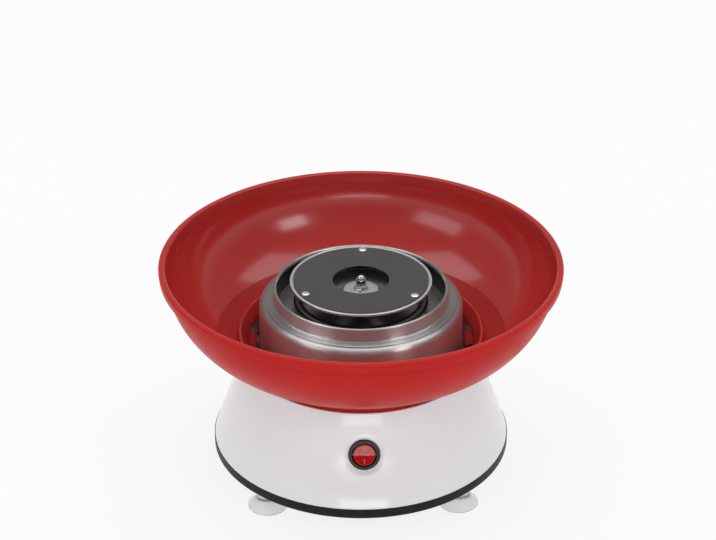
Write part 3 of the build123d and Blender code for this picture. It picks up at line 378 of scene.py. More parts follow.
@dataclass(frozen=True)
class MouldedGloss:
    """Glossy moulded plastic: even colour, a faint flow in it and a trace of orange peel."""

    name: str
    base: Colour
    deep: Colour
    rough: tuple[float, float] = (0.16, 0.22)
    specular: float = 0.4
    coat: float = 0.25
    peel: float = 0.03

    def material(self) -> bpy.types.Material:
        """Builds the material."""
        shader = Shader(self.name)
        shader.colour(shader.blend(shader.spread(shader.noise(14.0), 0, 1), self.base, self.deep))
        shader.roughness(shader.spread(shader.noise(60.0), *self.rough))
        shader.bump(shader.noise(420.0, 1.0), self.peel, 0.0003)
        shader.set(Specular_IOR_Level=self.specular, Coat_Weight=self.coat, Coat_Roughness=0.06)
        return shader.material


@dataclass(frozen=True)
class MouldedSatin:
    """Satin moulded plastic with a fine spark-eroded grain."""

    name: str
    base: Colour
    worn: Colour
    rough: tuple[float, float] = (0.38, 0.5)
    grain: float = 1500.0
    depth: float = 0.00008
    specular: float = 0.45

    def material(self) -> bpy.types.Material:
        """Builds the material."""
        shader = Shader(self.name)
        shader.colour(shader.blend(shader.spread(shader.noise(90.0, 4.0), 0, 1), self.base, self.worn))
        shader.roughness(shader.spread(shader.noise(220.0), *self.rough))
        shader.bump(shader.noise(self.grain, 2.0), 0.35, self.depth)
        shader.set(Specular_IOR_Level=self.specular)
        return shader.material


@dataclass(frozen=True)
class TurnedMetal:
    """Metal with turning or drawing marks round the axis."""

    name: str
    base: Colour
    dull: Colour
    rough: tuple[float, float] = (0.2, 0.3)
    fine: float = 900.0
    along: float = 2.0
    marks: float = 0.12
    metallic: float = 1.0
    drawn_out: float = 0.0         # how far a highlight is drawn out
    turn: float = 0.25             # of a whole turn: a quarter draws it out across the marks

    def material(self) -> bpy.types.Material:
        """Builds the material."""
        shader = Shader(self.name)
        streaks = shader.streaks(self.fine, self.along)
        clouds = shader.noise(25.0, 3.0)
        shader.colour(shader.blend(shader.spread(clouds, 0, 1), self.base, self.dull))
        shader.roughness(shader.spread(streaks, *self.rough))
        shader.bump(streaks, self.marks, 0.00002)
        shader.set(Metallic=self.metallic, Anisotropic=self.drawn_out, Anisotropic_Rotation=self.turn)
        return shader.material


@dataclass(frozen=True)
class PlainMetal:
    """Bright metal with a few smudges."""

    name: str
    base: Colour
    dull: Colour
    rough: tuple[float, float] = (0.06, 0.14)
    smudge: float = 300.0

    def material(self) -> bpy.types.Material:
        """Builds the material."""
        shader = Shader(self.name)
        smudges = shader.noise(self.smudge, 3.0)
        shader.colour(shader.blend(shader.spread(smudges, 0, 1), self.base, self.dull))
        shader.roughness(shader.spread(smudges, *self.rough))
        shader.bump(shader.noise(self.smudge * 6), 0.05, 0.00002)
        shader.set(Metallic=1.0)
        return shader.material


@dataclass(frozen=True)
class ClearSoft:
    """Soft clear plastic of the suction feet."""

    name: str
    base: Colour
    haze: Colour
    clear: float = 0.85

    def material(self) -> bpy.types.Material:
        """Builds the material."""
        shader = Shader(self.name)
        shader.colour(shader.blend(shader.spread(shader.noise(60.0), 0, 1), self.base, self.haze))
        shader.roughness(shader.spread(shader.noise(90.0), 0.16, 0.22))
        shader.bump(shader.noise(120.0), 0.03, 0.0001)
        shader.set(Transmission_Weight=self.clear, IOR=1.25, Coat_Weight=0.2, Coat_Roughness=0.1)
        return shader.material


@dataclass(frozen=True)
class RockerLens:
    """Clear red plastic of the rocker, moulded smooth over an inner grid."""

    name: str
    base: Colour
    deep: Colour
    coat: float = 0.6
    specular: float = 0.5

    def material(self) -> bpy.types.Material:
        """Builds the material."""
        shader = Shader(self.name)
        shader.colour(shader.blend(shader.spread(shader.noise(420.0, 2.0), 0, 1), self.base, self.deep))
        shader.roughness(shader.spread(shader.noise(700.0), 0.1, 0.18))
        shader.bump(shader.noise(900.0, 1.0), 0.06, 0.0001)
        shader.set(Coat_Weight=self.coat, Specular_IOR_Level=self.specular, Coat_Roughness=0.05,
                   Subsurface_Weight=0.35,
                   Subsurface_Radius=(0.004, 0.0006, 0.0004), Subsurface_Scale=0.6)
        return shader.material


@dataclass(frozen=True)
class Banded:
    """Bands across Z: the edges of stamped laminations, or the turns of a winding."""

    name: str
    base: Colour
    groove: Colour
    pitch: float
    axis: str = "Z"
    metallic: float = 0.8
    rough: tuple[float, float] = (0.4, 0.6)

    def material(self) -> bpy.types.Material:
        """Builds the material."""
        shader = Shader(self.name)
        wave = shader.add("ShaderNodeTexWave", {"Vector": shader.place, "Scale": 0.314 / (self.pitch * MM),
                                                "Distortion": 0.3, "Detail": 1.0},
                          wave_type="BANDS", bands_direction=self.axis).outputs[1]
        shader.colour(shader.blend(wave, self.groove, self.base))
        shader.roughness(shader.spread(shader.noise(250.0), *self.rough))
        shader.bump(wave, 0.4, 0.00015)
        shader.set(Metallic=self.metallic)
        return shader.material


class Look(Enum):
    """The finishes of the machine."""

    BOWL = MouldedGloss("bowl red", (0.45, 0.022, 0.019), (0.42, 0.019, 0.017), specular=0.5, coat=0.2)
    # lighter copy of the bowl red for the outward faces: painted light that lifts the shade they stand in
    BOWL_PAINTED_LIGHT = MouldedGloss("bowl red outside painted lighter", (0.53, 0.020, 0.018), (0.49, 0.018, 0.016), (0.3, 0.4),
                            specular=0.07, coat=0.0)
    # darker copy of the bowl red for the skirt's and rim's inner faces: painted shade
    BOWL_PAINTED_SHADE = MouldedGloss("bowl red painted shade", (0.36, 0.018, 0.016), (0.33, 0.016, 0.014), (0.25, 0.33),
                              specular=0.14, coat=0.0)
    HOUSING = MouldedGloss("housing white", (0.85, 0.86, 0.87), (0.835, 0.845, 0.86), specular=0.45)
    PAN = MouldedSatin("pan black", (0.010, 0.010, 0.011), (0.015, 0.015, 0.016), specular=0.15)
    FOOT = ClearSoft("foot clear", (0.87, 0.88, 0.89), (0.84, 0.85, 0.865))
    STEEL = TurnedMetal("drawn steel", (0.61, 0.605, 0.592), (0.57, 0.566, 0.555), (0.32, 0.38),
                        drawn_out=0.95)
    # darker copy of the drawn steel for the ledge down in the recess: painted shade
    STEEL_LEDGE_PAINTED_SHADE = TurnedMetal("drawn steel ledge painted shade", (0.46, 0.457, 0.45), (0.42, 0.417, 0.41), (0.34, 0.42),
                              drawn_out=0.85, turn=0.0)
    STEEL_DARK = TurnedMetal("dark lining", (0.014, 0.022, 0.020), (0.010, 0.016, 0.015), (0.3, 0.38),
                             400.0, 2.0, 0.05, 0.4)
    # dark reddish copy of the cup metal for its underside and inner walls: painted shade under the disc
    CUP_PAINTED_SHADE = TurnedMetal("cup painted shade", (0.055, 0.030, 0.030), (0.035, 0.020, 0.020), (0.22, 0.3),
                           700.0, 2.0, 0.1, 0.7)
    DISC = TurnedMetal("disc dark", (0.086, 0.082, 0.078), (0.074, 0.071, 0.068), (0.32, 0.45), 600.0, 3.0,
                       0.25, 0.35)
    ALU = PlainMetal("satin rim", (0.88, 0.88, 0.89), (0.82, 0.82, 0.835), (0.34, 0.42))
    CHROME = PlainMetal("chrome", (0.62, 0.62, 0.64), (0.56, 0.56, 0.58), (0.04, 0.1))
    BRASS = TurnedMetal("turned brass", (0.74, 0.33, 0.08), (0.66, 0.28, 0.065), (0.22, 0.3), 900.0,
                        marks=0.03, drawn_out=0.8)
    CUP_FLOOR = PlainMetal("satin aluminium", (0.80, 0.80, 0.81), (0.74, 0.745, 0.76), (0.42, 0.5))
    SHAFT = TurnedMetal("ground steel", (0.42, 0.42, 0.43), (0.36, 0.36, 0.37), (0.18, 0.28), 2500.0)
    HEATER = TurnedMetal("heater sheath", (0.17, 0.16, 0.15), (0.11, 0.10, 0.10), (0.35, 0.5), 800.0)
    LAMINATION = Banded("laminations", (0.12, 0.12, 0.13), (0.03, 0.03, 0.035), 0.5)
    WINDING = Banded("winding", (0.36, 0.11, 0.03), (0.16, 0.045, 0.015), 0.6, "X", 0.5, (0.3, 0.4))
    CERAMIC = MouldedSatin("ceramic", (0.66, 0.62, 0.54), (0.58, 0.54, 0.46), (0.3, 0.45), 900.0)
    SWITCH_BLACK = MouldedSatin("switch black", (0.010, 0.010, 0.011), (0.016, 0.016, 0.017), (0.22, 0.32))
    # lighter, pinker red of the rocker's upper half: a painted sheen
    SWITCH_RED_PAINTED_SHEEN = RockerLens("rocker red painted sheen", (0.58, 0.10, 0.10), (0.46, 0.05, 0.05))
    SWITCH_DEEP = RockerLens("rocker deep red", (0.52, 0.004, 0.004), (0.36, 0.003, 0.003), 0.1, 0.1)
    MARK = MouldedSatin("rocker marks", (0.62, 0.30, 0.28), (0.55, 0.24, 0.22), (0.4, 0.5))
    RUBBER = MouldedSatin("rubber", (0.016, 0.016, 0.016), (0.03, 0.03, 0.03), (0.6, 0.75), 700.0)


class Paint:
    """Keeps one material of each finish."""

    def __init__(self) -> None:
        """Starts with none."""
        self.made: dict[Look, bpy.types.Material] = {}

    def of(self, look: Look) -> bpy.types.Material:
        """The material of a finish, made when it is first asked for."""
        if look not in self.made:
            self.made[look] = look.value.material()
        return self.made[look]


PAINT = Paint()


def finish_piece(obj: bpy.types.Object, look: Look, body: str, slot: str, *replaced: str) -> bpy.types.Object:
    """Paints a new piece, ties it to its body, and says which nodes it stands for."""
    obj.data.materials.clear()
    obj.data.materials.append(PAINT.of(look))
    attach(obj, body)
    if replaced:
        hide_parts(*replaced)
    LOG.info("%s: %d faces, rides on %s", obj.name, len(obj.data.polygons), body)
    return obj


def dress_part(obj: bpy.types.Object, look: Look, chosen: Callable[[Array, Array], Array]) -> None:
    """Gives some faces of a finished piece a second finish.

    Args:
        obj: The piece.
        look: The second finish.
        chosen: Takes the faces' middles, in millimetres, and their normals, and returns a mask.
    """
    faces = obj.data.polygons
    middle, normal = np.empty(len(faces) * 3), np.empty(len(faces) * 3)
    faces.foreach_get("center", middle)
    faces.foreach_get("normal", normal)
    mask = chosen(middle.reshape(-1, 3) / MM, normal.reshape(-1, 3))
    finish = np.empty(len(faces), np.int32)
    faces.foreach_get("material_index", finish)
    finish[mask] = len(obj.data.materials)
    obj.data.materials.append(PAINT.of(look))
    faces.foreach_set("material_index", finish)
    obj.data.update()


def extent(node: str) -> tuple[Array, Array]:
    """Lowest and highest corner of a frame node, in millimetres."""
    low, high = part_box(node)
    return np.array(low) / MM, np.array(high) / MM


def spread_out(grid: Array, angles: Array, radius: float) -> list[Array]:
    """Copies of a grid, moved out along X and turned about Z to each angle in degrees."""
    out = []
    for angle in np.radians(angles):
        c, s = math.cos(angle), math.sin(angle)
        turn = np.array([[c, s, 0], [-s, c, 0], [0, 0, 1]])
        out.append((grid + [radius, 0, 0]) @ turn)
    return out


# ---------------------------------------------------------------- bowl
@dataclass
class Bowl:
    """Red catching bowl: skirt, crease, superelliptic side, thick rim, raised lip and four lugs."""

    low: float
    high: float
    rim_r: float
    wall: float = 2.2
    power: float = 1.74
    rim_drop: float = 7.3
    rim_width: float = 5.0
    rim_draft: float = 0.7
    rim_round: float = 1.7
    overhang: float = 5.2
    skirt_r: float = 85.7
    skirt_wall: float = 1.6
    skirt_rise: float = 11.5
    crease_step: float = 2.3
    crease_bead: float = 0.9
    crest_step: float = 4.9
    crest_rise: float = 21.6
    crest_thick: float = 2.4
    slope_foot: float = 15.0
    lug_r: float = 78.6
    lug_width: float = 20.0
    lug_foot: float = 3.5
    lug_top: float = 13.5
    lug_angles: tuple[float, ...] = (-90.0, 0.0, 90.0, 180.0)
    curve_steps: int = 48

    @classmethod
    def from_frame(cls) -> Bowl:
        """Takes the rim, the foot and the height from the frame."""
        low, high = extent("bowl")
        return cls(low[2], high[2], high[0])

    def side(self, start_r: float, wall: float) -> Array:
        """Side of the bowl from a start radius up to the rim.

        With t falling from a first angle to 0, r = s + A cos(t)^(2/p) and z = h - D sin(t)^(2/p):
        a superellipse of power p about the rim's height h, A across and D down.
        """
        high = self.high - self.rim_drop
        across = self.rim_r - self.overhang - self.skirt_r - wall
        down = high - self.low - self.skirt_rise - wall
        first = math.acos(((start_r - self.skirt_r) / across) ** (self.power / 2))
        t = np.linspace(first, 0, self.curve_steps)
        root = 2 / self.power
        return np.column_stack([self.skirt_r + across * np.cos(t) ** root, high - down * np.sin(t) ** root])

    def profile(self) -> Array:
        """Closed outline of the wall, from the inner foot of the skirt round and back."""
        inner_r = self.skirt_r - self.skirt_wall
        crease_r = self.skirt_r + self.crease_step
        crest_r = self.skirt_r + self.crest_step
        outside = self.side(crease_r, 0)
        inside = self.side(crest_r + self.crest_thick, self.wall)
        crease, crest = outside[0][1], self.low + self.crest_rise
        bead = self.crease_bead
        lower = rounded(
            [(inner_r, self.low + self.slope_foot - 1), (inner_r, self.low), (self.skirt_r, self.low),
             (self.skirt_r, crease - 2.2 * bead), (crease_r - bead, crease - bead), tuple(outside[0]),
             tuple(outside[4])],
            [0, 0.5, 0.5, 0.9, 0.5, 0.35, 0])[:-1]
        rim = rounded(
            [tuple(outside[-2]), tuple(outside[-1]), (self.rim_r - self.rim_draft, self.high - self.rim_drop),
             (self.rim_r, self.high), (self.rim_r - self.rim_width, self.high), tuple(inside[-1]),
             tuple(inside[-4])],
            [0, 1.2, 0.9, self.rim_round, self.rim_round, 3.0, 0], 8)[1:-1]
        lip = rounded(
            [tuple(inside[3]), tuple(inside[0]), (crest_r + self.crest_thick / 2, crest),
             (crest_r - self.crest_thick / 4, crest), (inner_r, self.low + self.slope_foot),
             (inner_r, self.low + self.slope_foot - 1)],
            [0, 2.2, 0.7, 0.5, 2.5, 0], 8)[1:-1]
        body = np.vstack([lower, outside[5:-2], rim, inside[::-1][5:-4], lip])
        return denser(np.vstack([body, body[:1]]), 4.0)[:-1]

    def build(self) -> bpy.types.Object:
        """Turns the outline and presses the lugs inwards from the skirt's inner wall.

        Between a lug's foot and its top, and between its two edge angles, the inner wall's radius
        drops to the lug's radius. Each edge angle is there twice, so the flanks stand upright.
        """
        profile = self.profile()
        inner_r = self.skirt_r - self.skirt_wall
        half = math.degrees(math.asin(self.lug_width / 2 / self.lug_r))
        flank = 0.25
        angles = [evenly(ROUND)]
        for middle in self.lug_angles:
            edges = np.array([-half - flank, -half, half, half + flank])
            angles.append((middle + edges) % 360)
        angle = np.unique(np.round(np.concatenate(angles), 4))
        near = np.min([np.abs((angle - m + 180) % 360 - 180) for m in self.lug_angles], axis=0)
        inside_lug = near <= half + 1e-3
        bands = self.low + np.array([self.lug_foot, self.lug_foot + 0.3, self.lug_top - 3.0, self.lug_top])
        wall_rows = np.column_stack([np.full(4, inner_r), bands[::-1]])
        on_wall = np.abs(profile[:, 0] - inner_r) < 1e-6
        start = int(np.flatnonzero(on_wall)[0])
        keep = ~(on_wall & (profile[:, 1] < self.low + self.slope_foot - 1.01) & (profile[:, 1] > self.low + 0.51))
        profile = np.vstack([profile[: start + 1], wall_rows, profile[start + 1:][keep[start + 1:]]])
        radius = np.broadcast_to(profile[:, 0], (len(angle), len(profile))).copy()
        height = profile[:, 1]
        lug_rows = (np.abs(profile[:, 0] - inner_r) < 1e-6) & (height > bands[0] + 0.2) & (height < bands[3] - 0.2)
        radius[np.ix_(inside_lug, lug_rows)] = self.lug_r
        grid = swept_radii(np.radians(angle), radius, height)
        bowl = mesh_object("bowl_moulding", [Sheet(grid, True, True)])
        finish_piece(bowl, Look.BOWL, "bowl", "bowl_red", "bowl")
        # outward faces take a lighter red, painted light; the skirt's and rim's inner faces take a darker red,
        # painted shade
        dress_part(bowl, Look.BOWL_PAINTED_LIGHT, lambda middle, normal: self.outwards(middle, normal) > 0.3)
        dress_part(bowl, Look.BOWL_PAINTED_SHADE, self.faces_painted_shade)
        return bowl

    def outwards(self, middle: Array, normal: Array) -> Array:
        """How far each face looks away from the axis, from -1 to 1."""
        return (middle[:, :2] * normal[:, :2]).sum(1) / np.hypot(middle[:, 0], middle[:, 1])

    def faces_painted_shade(self, middle: Array, normal: Array) -> Array:
        """Mask of the inner faces of the skirt and of the rim, which are less glossy and take a darker red: painted
        shade.
        """
        skirt = middle[:, 2] < self.low + self.crest_rise - 1
        rim = middle[:, 2] > self.high - self.rim_drop - 1
        outwards = self.outwards(middle, normal)
        return (skirt & (outwards < 0.3)) | (rim & (outwards < -0.6))


# ---------------------------------------------------------------- housing
@dataclass
class SwitchFrame:
    """Where the switch sits: a plane that leans back in the front panel."""

    centre: Array
    lean: float = 12.0

    @classmethod
    def from_frame(cls, rim_thick: float = 2.4, rim_r: float = 11.7) -> SwitchFrame:
        """Finds the seat's middle from the bezel's box: its front lies rim_thick out of the seat."""
        low, high = extent("switch_bezel")
        lean = math.radians(cls.lean)
        top = high[2]
        # the highest point of the rim's disc is rim_r up the face and part of the thickness out
        z = top - rim_r * math.cos(lean) - rim_thick * math.sin(lean)
        front = low[1]
        y = front + rim_thick * math.cos(lean) + rim_r * math.sin(lean)
        return cls(np.array([0.0, y, z]))

    @property
    def axes(self) -> Array:
        """Rows: across, up the face, and out of the face."""
        lean = math.radians(self.lean)
        out = np.array([0.0, -math.cos(lean), math.sin(lean)])
        across = np.array([1.0, 0.0, 0.0])
        return np.array([across, np.cross(out, across), out])


@dataclass
class Housing:
    """White housing: a cone with a soft panel dished into its front, a recess and two ports."""

    switch: SwitchFrame
    foot: float
    mouth: float
    foot_r: float
    mouth_r: float
    recess_r: float = 86.2
    ledge: float = 88.5
    sheet: float = 1.0
    shelf_r: float = 74.0
    wall: float = 2.6
    lip: float = 0.7
    foot_round: float = 0.5
    panel_depth: float = 2.0
    panel_low: float = 9.0
    panel_height: float = 48.0
    panel_shift: float = 12.0
    panel_soft: float = 0.9
    seat_r: float = 12.4
    seat_fade: float = 3.6
    switch_hole: float = 10.4
    inlet_z: float = 40.0
    inlet_proud: float = 1.5
    inlet_r: float = 11.0
    inlet_hole: float = 6.05

    @classmethod
    def from_frame(cls, switch: SwitchFrame) -> Housing:
        """Takes the heights and the foot from the frame."""
        low, high = extent("housing_shell")
        _, ledge = extent("ledge_screw_1")
        return cls(switch, high[2] - 67.4, high[2], high[0], 87.7)

    def cone(self, z: Array) -> Array:
        """Radius of the plain cone at a height."""
        return self.foot_r + (self.mouth_r - self.foot_r) * (z - self.foot) / (self.mouth - self.foot)

    def panel(self, angle: Array, z: Array) -> Array:
        """Radius of the panel's dish.

        The dish is turned about an upright axis set back by s. Its section is a circle of radius b
        whose middle lies out of the wall, so rho(z) = m - sqrt(b^2 - (z - c)^2), and seen from the
        machine's own axis r = s sin(a) + sqrt(rho^2 - s^2 cos(a)^2).
        """
        low_z = self.foot + self.panel_low
        low = np.array([self.cone(low_z), low_z])
        high_z = low_z + self.panel_height
        high = np.array([self.cone(high_z), high_z])
        chord = high - low
        length = np.linalg.norm(chord)
        bulge = (length ** 2 / 4 + self.panel_depth ** 2) / (2 * self.panel_depth)
        outward = np.array([chord[1], -chord[0]]) / length
        middle = low + chord / 2 + outward * (bulge - self.panel_depth)
        drop = np.clip(bulge ** 2 - (z - middle[1]) ** 2, 0, None)
        rho = middle[0] + self.panel_shift - np.sqrt(drop)
        under = rho ** 2 - (self.panel_shift * np.cos(angle)) ** 2
        return self.panel_shift * np.sin(angle) + np.sqrt(np.clip(under, 0, None))

    def outer(self, angle: Array, z: Array) -> Array:
        """Radius of the outside at each angle and height: a soft minimum of cone and panel.

        The soft minimum of p and q with softness k is (p + q - sqrt((p - q)^2 + k^2)) / 2. Round
        the switch it eases into the flat seat.
        """
        cone, panel = self.cone(z), self.panel(angle, z)
        front = np.sin(angle) < 0
        gap = np.where(front, panel - cone, 99.0)
        radius = cone + (gap - np.sqrt(gap ** 2 + self.panel_soft ** 2)) / 2
        axes, centre = self.switch.axes, self.switch.centre
        out = axes[2]
        along = out[0] * np.cos(angle) + out[1] * np.sin(angle)
        flat = (out @ centre - out[2] * z) / np.where(np.abs(along) < 0.2, 0.2, along)
        point = np.stack([radius * np.cos(angle), radius * np.sin(angle), z + 0 * angle], -1) - centre
        apart = np.hypot(point @ axes[0], point @ axes[1])
        near = (1 - smoothstep(self.seat_r, self.seat_r + self.seat_fade, apart)) * front
        return radius * (1 - near) + flat * near

    def build(self) -> list[bpy.types.Object]:
        """Builds the shell with a true wall, cuts its two ports and adds the inlet's seat."""
        warp = evenly(ROUND * 2)
        angle = np.radians(warp + 14 * np.sin(np.radians(2 * (warp + 90))) * -0.5)
        rise = np.linspace(0, 1, 96)
        z_out = self.foot + self.foot_round + rise * (self.mouth - self.lip * 1.3 - self.foot - self.foot_round)
        a, z = np.meshgrid(angle, z_out, indexing="ij")
        outside = self.outer(a, z)
        under = self.ledge - self.sheet - self.wall
        a_in, z_in = np.meshgrid(angle, np.linspace(under, self.foot, 60), indexing="ij")
        inside = self.outer(a_in, z_in) - self.wall
        top = rounded([(self.cone(z_out[-1]), z_out[-1]), (self.mouth_r, self.mouth), (self.recess_r, self.mouth),
                       (self.recess_r, self.ledge - self.sheet), (self.shelf_r, self.ledge - self.sheet),
                       (self.shelf_r, under)], [0, self.lip, self.lip * 0.6, 0, 0, 0])[1:]
        foot_out = self.outer(angle, np.full_like(angle, self.foot))
        columns = len(angle)
        radius = np.hstack([
            (foot_out - self.foot_round)[:, None], (foot_out - self.foot_round * 0.3)[:, None],
            outside, np.broadcast_to(top[:, 0], (columns, len(top))), inside,
        ])
        height = np.concatenate([[self.foot, self.foot + self.foot_round * 0.3], z_out, top[:, 1], z_in[0]])
        shell = mesh_object("housing_moulding", [Sheet(swept_radii(angle, radius, height), True, True)])
        switch_tool = self.port_tool(self.switch.centre, self.switch.axes, self.switch_hole)
        cut(shell, [switch_tool, self.port_tool(self.inlet_place(), self.inlet_axes(), self.inlet_hole)])
        seat = self.inlet_seat()
        return [finish_piece(shell, Look.HOUSING, "base", "housing_white", "housing_shell"),
                finish_piece(seat, Look.HOUSING, "base", "housing_white")]

    def inlet_place(self) -> Array:
        """Middle of the cord inlet's seat at the back."""
        return np.array([0.0, float(self.cone(self.inlet_z)) + self.inlet_proud, self.inlet_z])

    def inlet_axes(self) -> Array:
        """Rows: across, up, and out of the back."""
        return np.array([[-1.0, 0, 0], [0, 0, 1.0], [0, 1.0, 0]])

    def port_tool(self, centre: Array, axes: Array, radius: float) -> bpy.types.Object:
        """Round tool through the wall along the port's axis."""
        reach = 14.0
        profile = np.array([[0, -reach], [radius, -reach], [radius, reach], [0, reach]])
        return mesh_object("port_tool", [Sheet(moved(turned(profile, 72), centre, axes), True, False)])

    def inlet_seat(self) -> bpy.types.Object:
        """Round seat of the cord gland, standing a little out of the wall."""
        deep = 7.0
        profile = rounded_loop([(self.inlet_hole, -deep), (self.inlet_r, -deep), (self.inlet_r, 0),
                                (self.inlet_hole, 0)], [0, 0, 0.6, 0])
        grid = moved(turned(profile, 96), self.inlet_place(), self.inlet_axes())
        return mesh_object("inlet_seat", [Sheet(grid, True, True)])


# ---------------------------------------------------------------- pan and feet
@dataclass
class Feet:
    """Four clear suction feet under the pan."""

    nodes: tuple[str, ...] = ("suction_foot_1", "suction_foot_2", "suction_foot_3", "suction_foot_4")
    lip_r: float = 15.0
    edge: float = 1.3
    neck_r: float = 7.5
    neck_foot: float = 8.5
    flange_r: float = 9.0
    flange: float = 2.0
    pan: float = 14.0
    stem_r: float = 4.8
    bulb: float = 16.5
    bulb_r: float = 6.2
    bulb_h: float = 3.4
    hollow: float = 4.5

    def profile(self) -> Array:
        """Outline from the hollow's crown out over the lip, up the flared cup and over the bulb."""
        return rounded(
            [(0, self.hollow), (self.lip_r * 0.55, self.hollow * 0.55), (self.lip_r - self.edge, 0),
             (self.lip_r, 0), (self.lip_r, self.edge), ((self.lip_r + self.neck_r) / 2, 4.6),
             (self.neck_r, self.neck_foot), (self.neck_r, self.pan - self.flange),
             (self.flange_r, self.pan - self.flange), (self.flange_r, self.pan), (self.stem_r, self.pan),
             (self.stem_r, self.bulb), (self.bulb_r, self.bulb), (self.stem_r / 2, self.bulb + self.bulb_h),
             (0, self.bulb + self.bulb_h)],
            [0, 12.0, 0.4, 0.4, 0.5, 5.0, 3.0, 0.8, 0.6, 0.2, 0.2, 0.2, 0.8, 1.0, 0])

    def build(self) -> list[bpy.types.Object]:
        """One foot at each node's place."""
        grid = turned(self.profile(), 72)
        out = []
        for node in self.nodes:
            low, high = extent(node)
            middle = (low + high) / 2 * [1, 1, 0]
            foot = mesh_object(node.replace("suction", "clear"), [Sheet(grid + middle)])
            out.append(finish_piece(foot, Look.FOOT, "base", "foot_clear", node))
        return out


# ---------------------------------------------------------------- collar
@dataclass
class Collar:
    """Drawn steel collar: band with ledge, bead, slots and shoulder; neck; lining; screws."""

    ledge: float
    ledge_r: float
    shoulder: float = 135.0
    neck_rim: float = 146.5
    sheet: float = 1.0
    band_r: float = 76.0
    bead_r: float = 79.0
    bead_rise: float = 3.2
    shoulder_round: float = 4.5
    neck_r: float = 65.0
    neck_air: float = 0.3
    flange_r: float = 71.5
    flange: float = 0.9
    rim_r: float = 1.2
    slot_angles: tuple[float, ...] = (-90.0, 0.0, 90.0, 180.0)
    slot_width: float = 27.0
    slot_low: float = 4.4
    slot_high: float = 7.4
    slot_lip: float = 1.6
    slot_fade: float = 3.4
    weld_rise: float = 21.0
    weld_r: float = 1.9
    weld_depth: float = 0.35
    screw_circle: float = 81.5
    screw_first: float = 30.0
    screw_count: int = 6
    screw_r: float = 2.2
    screw_h: float = 2.0
    liner_wall: float = 0.7
    floor: float = 130.0

    @classmethod
    def from_frame(cls) -> Collar:
        """Takes the ledge, the shoulder and the neck from the frame."""
        low, high = extent("steel_band")
        _, neck = extent("neck_ring")
        return cls(low[2] + 1.0, high[0], high[2], neck[2])

    def band_profile(self) -> Array:
        """Outer skin of the band from the ledge's edge up to the shoulder's inner edge."""
        foot = self.ledge + self.bead_rise
        line = rounded(
            [(self.ledge_r, self.ledge), (self.bead_r, self.ledge), (self.bead_r, foot), (self.band_r, foot),
             (self.band_r, self.shoulder), (self.neck_r + self.neck_air, self.shoulder)],
            [0, 0.5, 1.4, 0.7, self.shoulder_round, 0], 8)
        heights = self.ledge + np.array([self.slot_low, self.slot_high])
        extra = []
        for a, b in zip(line, line[1:]):
            extra.append(a[None])
            if abs(a[0] - b[0]) < 1e-6 and abs(b[1] - a[1]) > 20:
                near = np.linspace(heights[1], heights[1] + self.slot_fade, 7)
                weld = self.ledge + self.weld_rise + np.linspace(-1, 1, 13) * self.weld_r * 1.3
                up = np.unique(np.concatenate([heights, near, weld, np.linspace(a[1], b[1], 12)[1:-1]]))
                up = up[(up > a[1] + 0.1) & (up < b[1] - 0.1)]
                extra.append(np.column_stack([np.full(len(up), a[0]), up]))
        extra.append(line[-1:])
        return np.vstack(extra)

    def band(self) -> bpy.types.Object:
        """Band skin with its four slots left open, thickened inwards into sheet metal.

        Above each slot the wall eases outwards by lip * e(angle) * e(height): the pressed edge. A
        spot weld's dimple above the front slot is a cosine bowl.
        """
        profile = self.band_profile()
        half = math.degrees(self.slot_width / 2 / self.band_r)
        parts = [evenly(ROUND)]
        for middle in self.slot_angles:
            parts.append((middle + np.concatenate([np.linspace(-half - 2, half + 2, 33), [-half, half]])) % 360)
        parts.append(-90 % 360 + np.linspace(-2, 2, 17))
        angle = np.unique(np.round(np.concatenate(parts), 3))
        near = np.min([np.abs((angle - m + 180) % 360 - 180) for m in self.slot_angles], axis=0)
        radius = np.broadcast_to(profile[:, 0], (len(angle), len(profile))).copy()
        height = profile[:, 1]
        slot_low, slot_high = self.ledge + self.slot_low, self.ledge + self.slot_high
        over = (1 - smoothstep(slot_high, slot_high + self.slot_fade, height)) * (height > slot_high - 0.05)
        radius += self.slot_lip * np.outer(1 - smoothstep(half - 1.2, half + 0.9, near), over)
        across = np.radians((angle + 90 + 180) % 360 - 180) * self.band_r
        apart = np.hypot(across[:, None], height[None] - (self.ledge + self.weld_rise))
        radius -= self.weld_depth * 0.5 * (1 + np.cos(math.pi * np.clip(apart / self.weld_r, 0, 1)))
        skin = mesh_object("band_skin", [Sheet(swept_radii(np.radians(angle), radius, height))], closed=False)
        self.open_slots(skin, slot_low, slot_high, math.radians(half))
        wall = skin.modifiers.new("wall", "SOLIDIFY")
        wall.thickness = self.sheet * MM
        wall.offset = -1
        skin = baked(skin)
        skin.name = skin.data.name = "collar_band"
        finish_piece(skin, Look.STEEL, "base", "steel", "steel_band")
        # the ledge's faces take the darker steel: painted shade of the recess
        dress_part(skin, Look.STEEL_LEDGE_PAINTED_SHADE, lambda middle, normal: middle[:, 2] < self.ledge + 0.6)
        return skin

    def open_slots(self, skin: bpy.types.Object, low: float, high: float, half: float) -> None:
        """Deletes the faces inside the slots and turns the rest outwards."""
        work = bmesh.new()
        work.from_mesh(skin.data)
        gone = []
        for face in work.faces:
            middle = face.calc_center_median() / MM
            turn = math.atan2(middle.y, middle.x)
            apart = min(abs((turn - math.radians(m) + math.pi) % (2 * math.pi) - math.pi) for m in self.slot_angles)
            if low < middle.z < high and apart < half and math.hypot(middle.x, middle.y) < self.band_r + 0.3:
                gone.append(face)
        bmesh.ops.delete(work, geom=gone, context="FACES")
        work.normal_update()
        sample = next(f for f in work.faces if f.calc_center_median().z > (self.ledge + 20) * MM)
        middle = sample.calc_center_median()
        if sample.normal.dot(Vector((middle.x, middle.y, 0))) < 0:
            bmesh.ops.reverse_faces(work, faces=work.faces)
        work.to_mesh(skin.data)
        work.free()

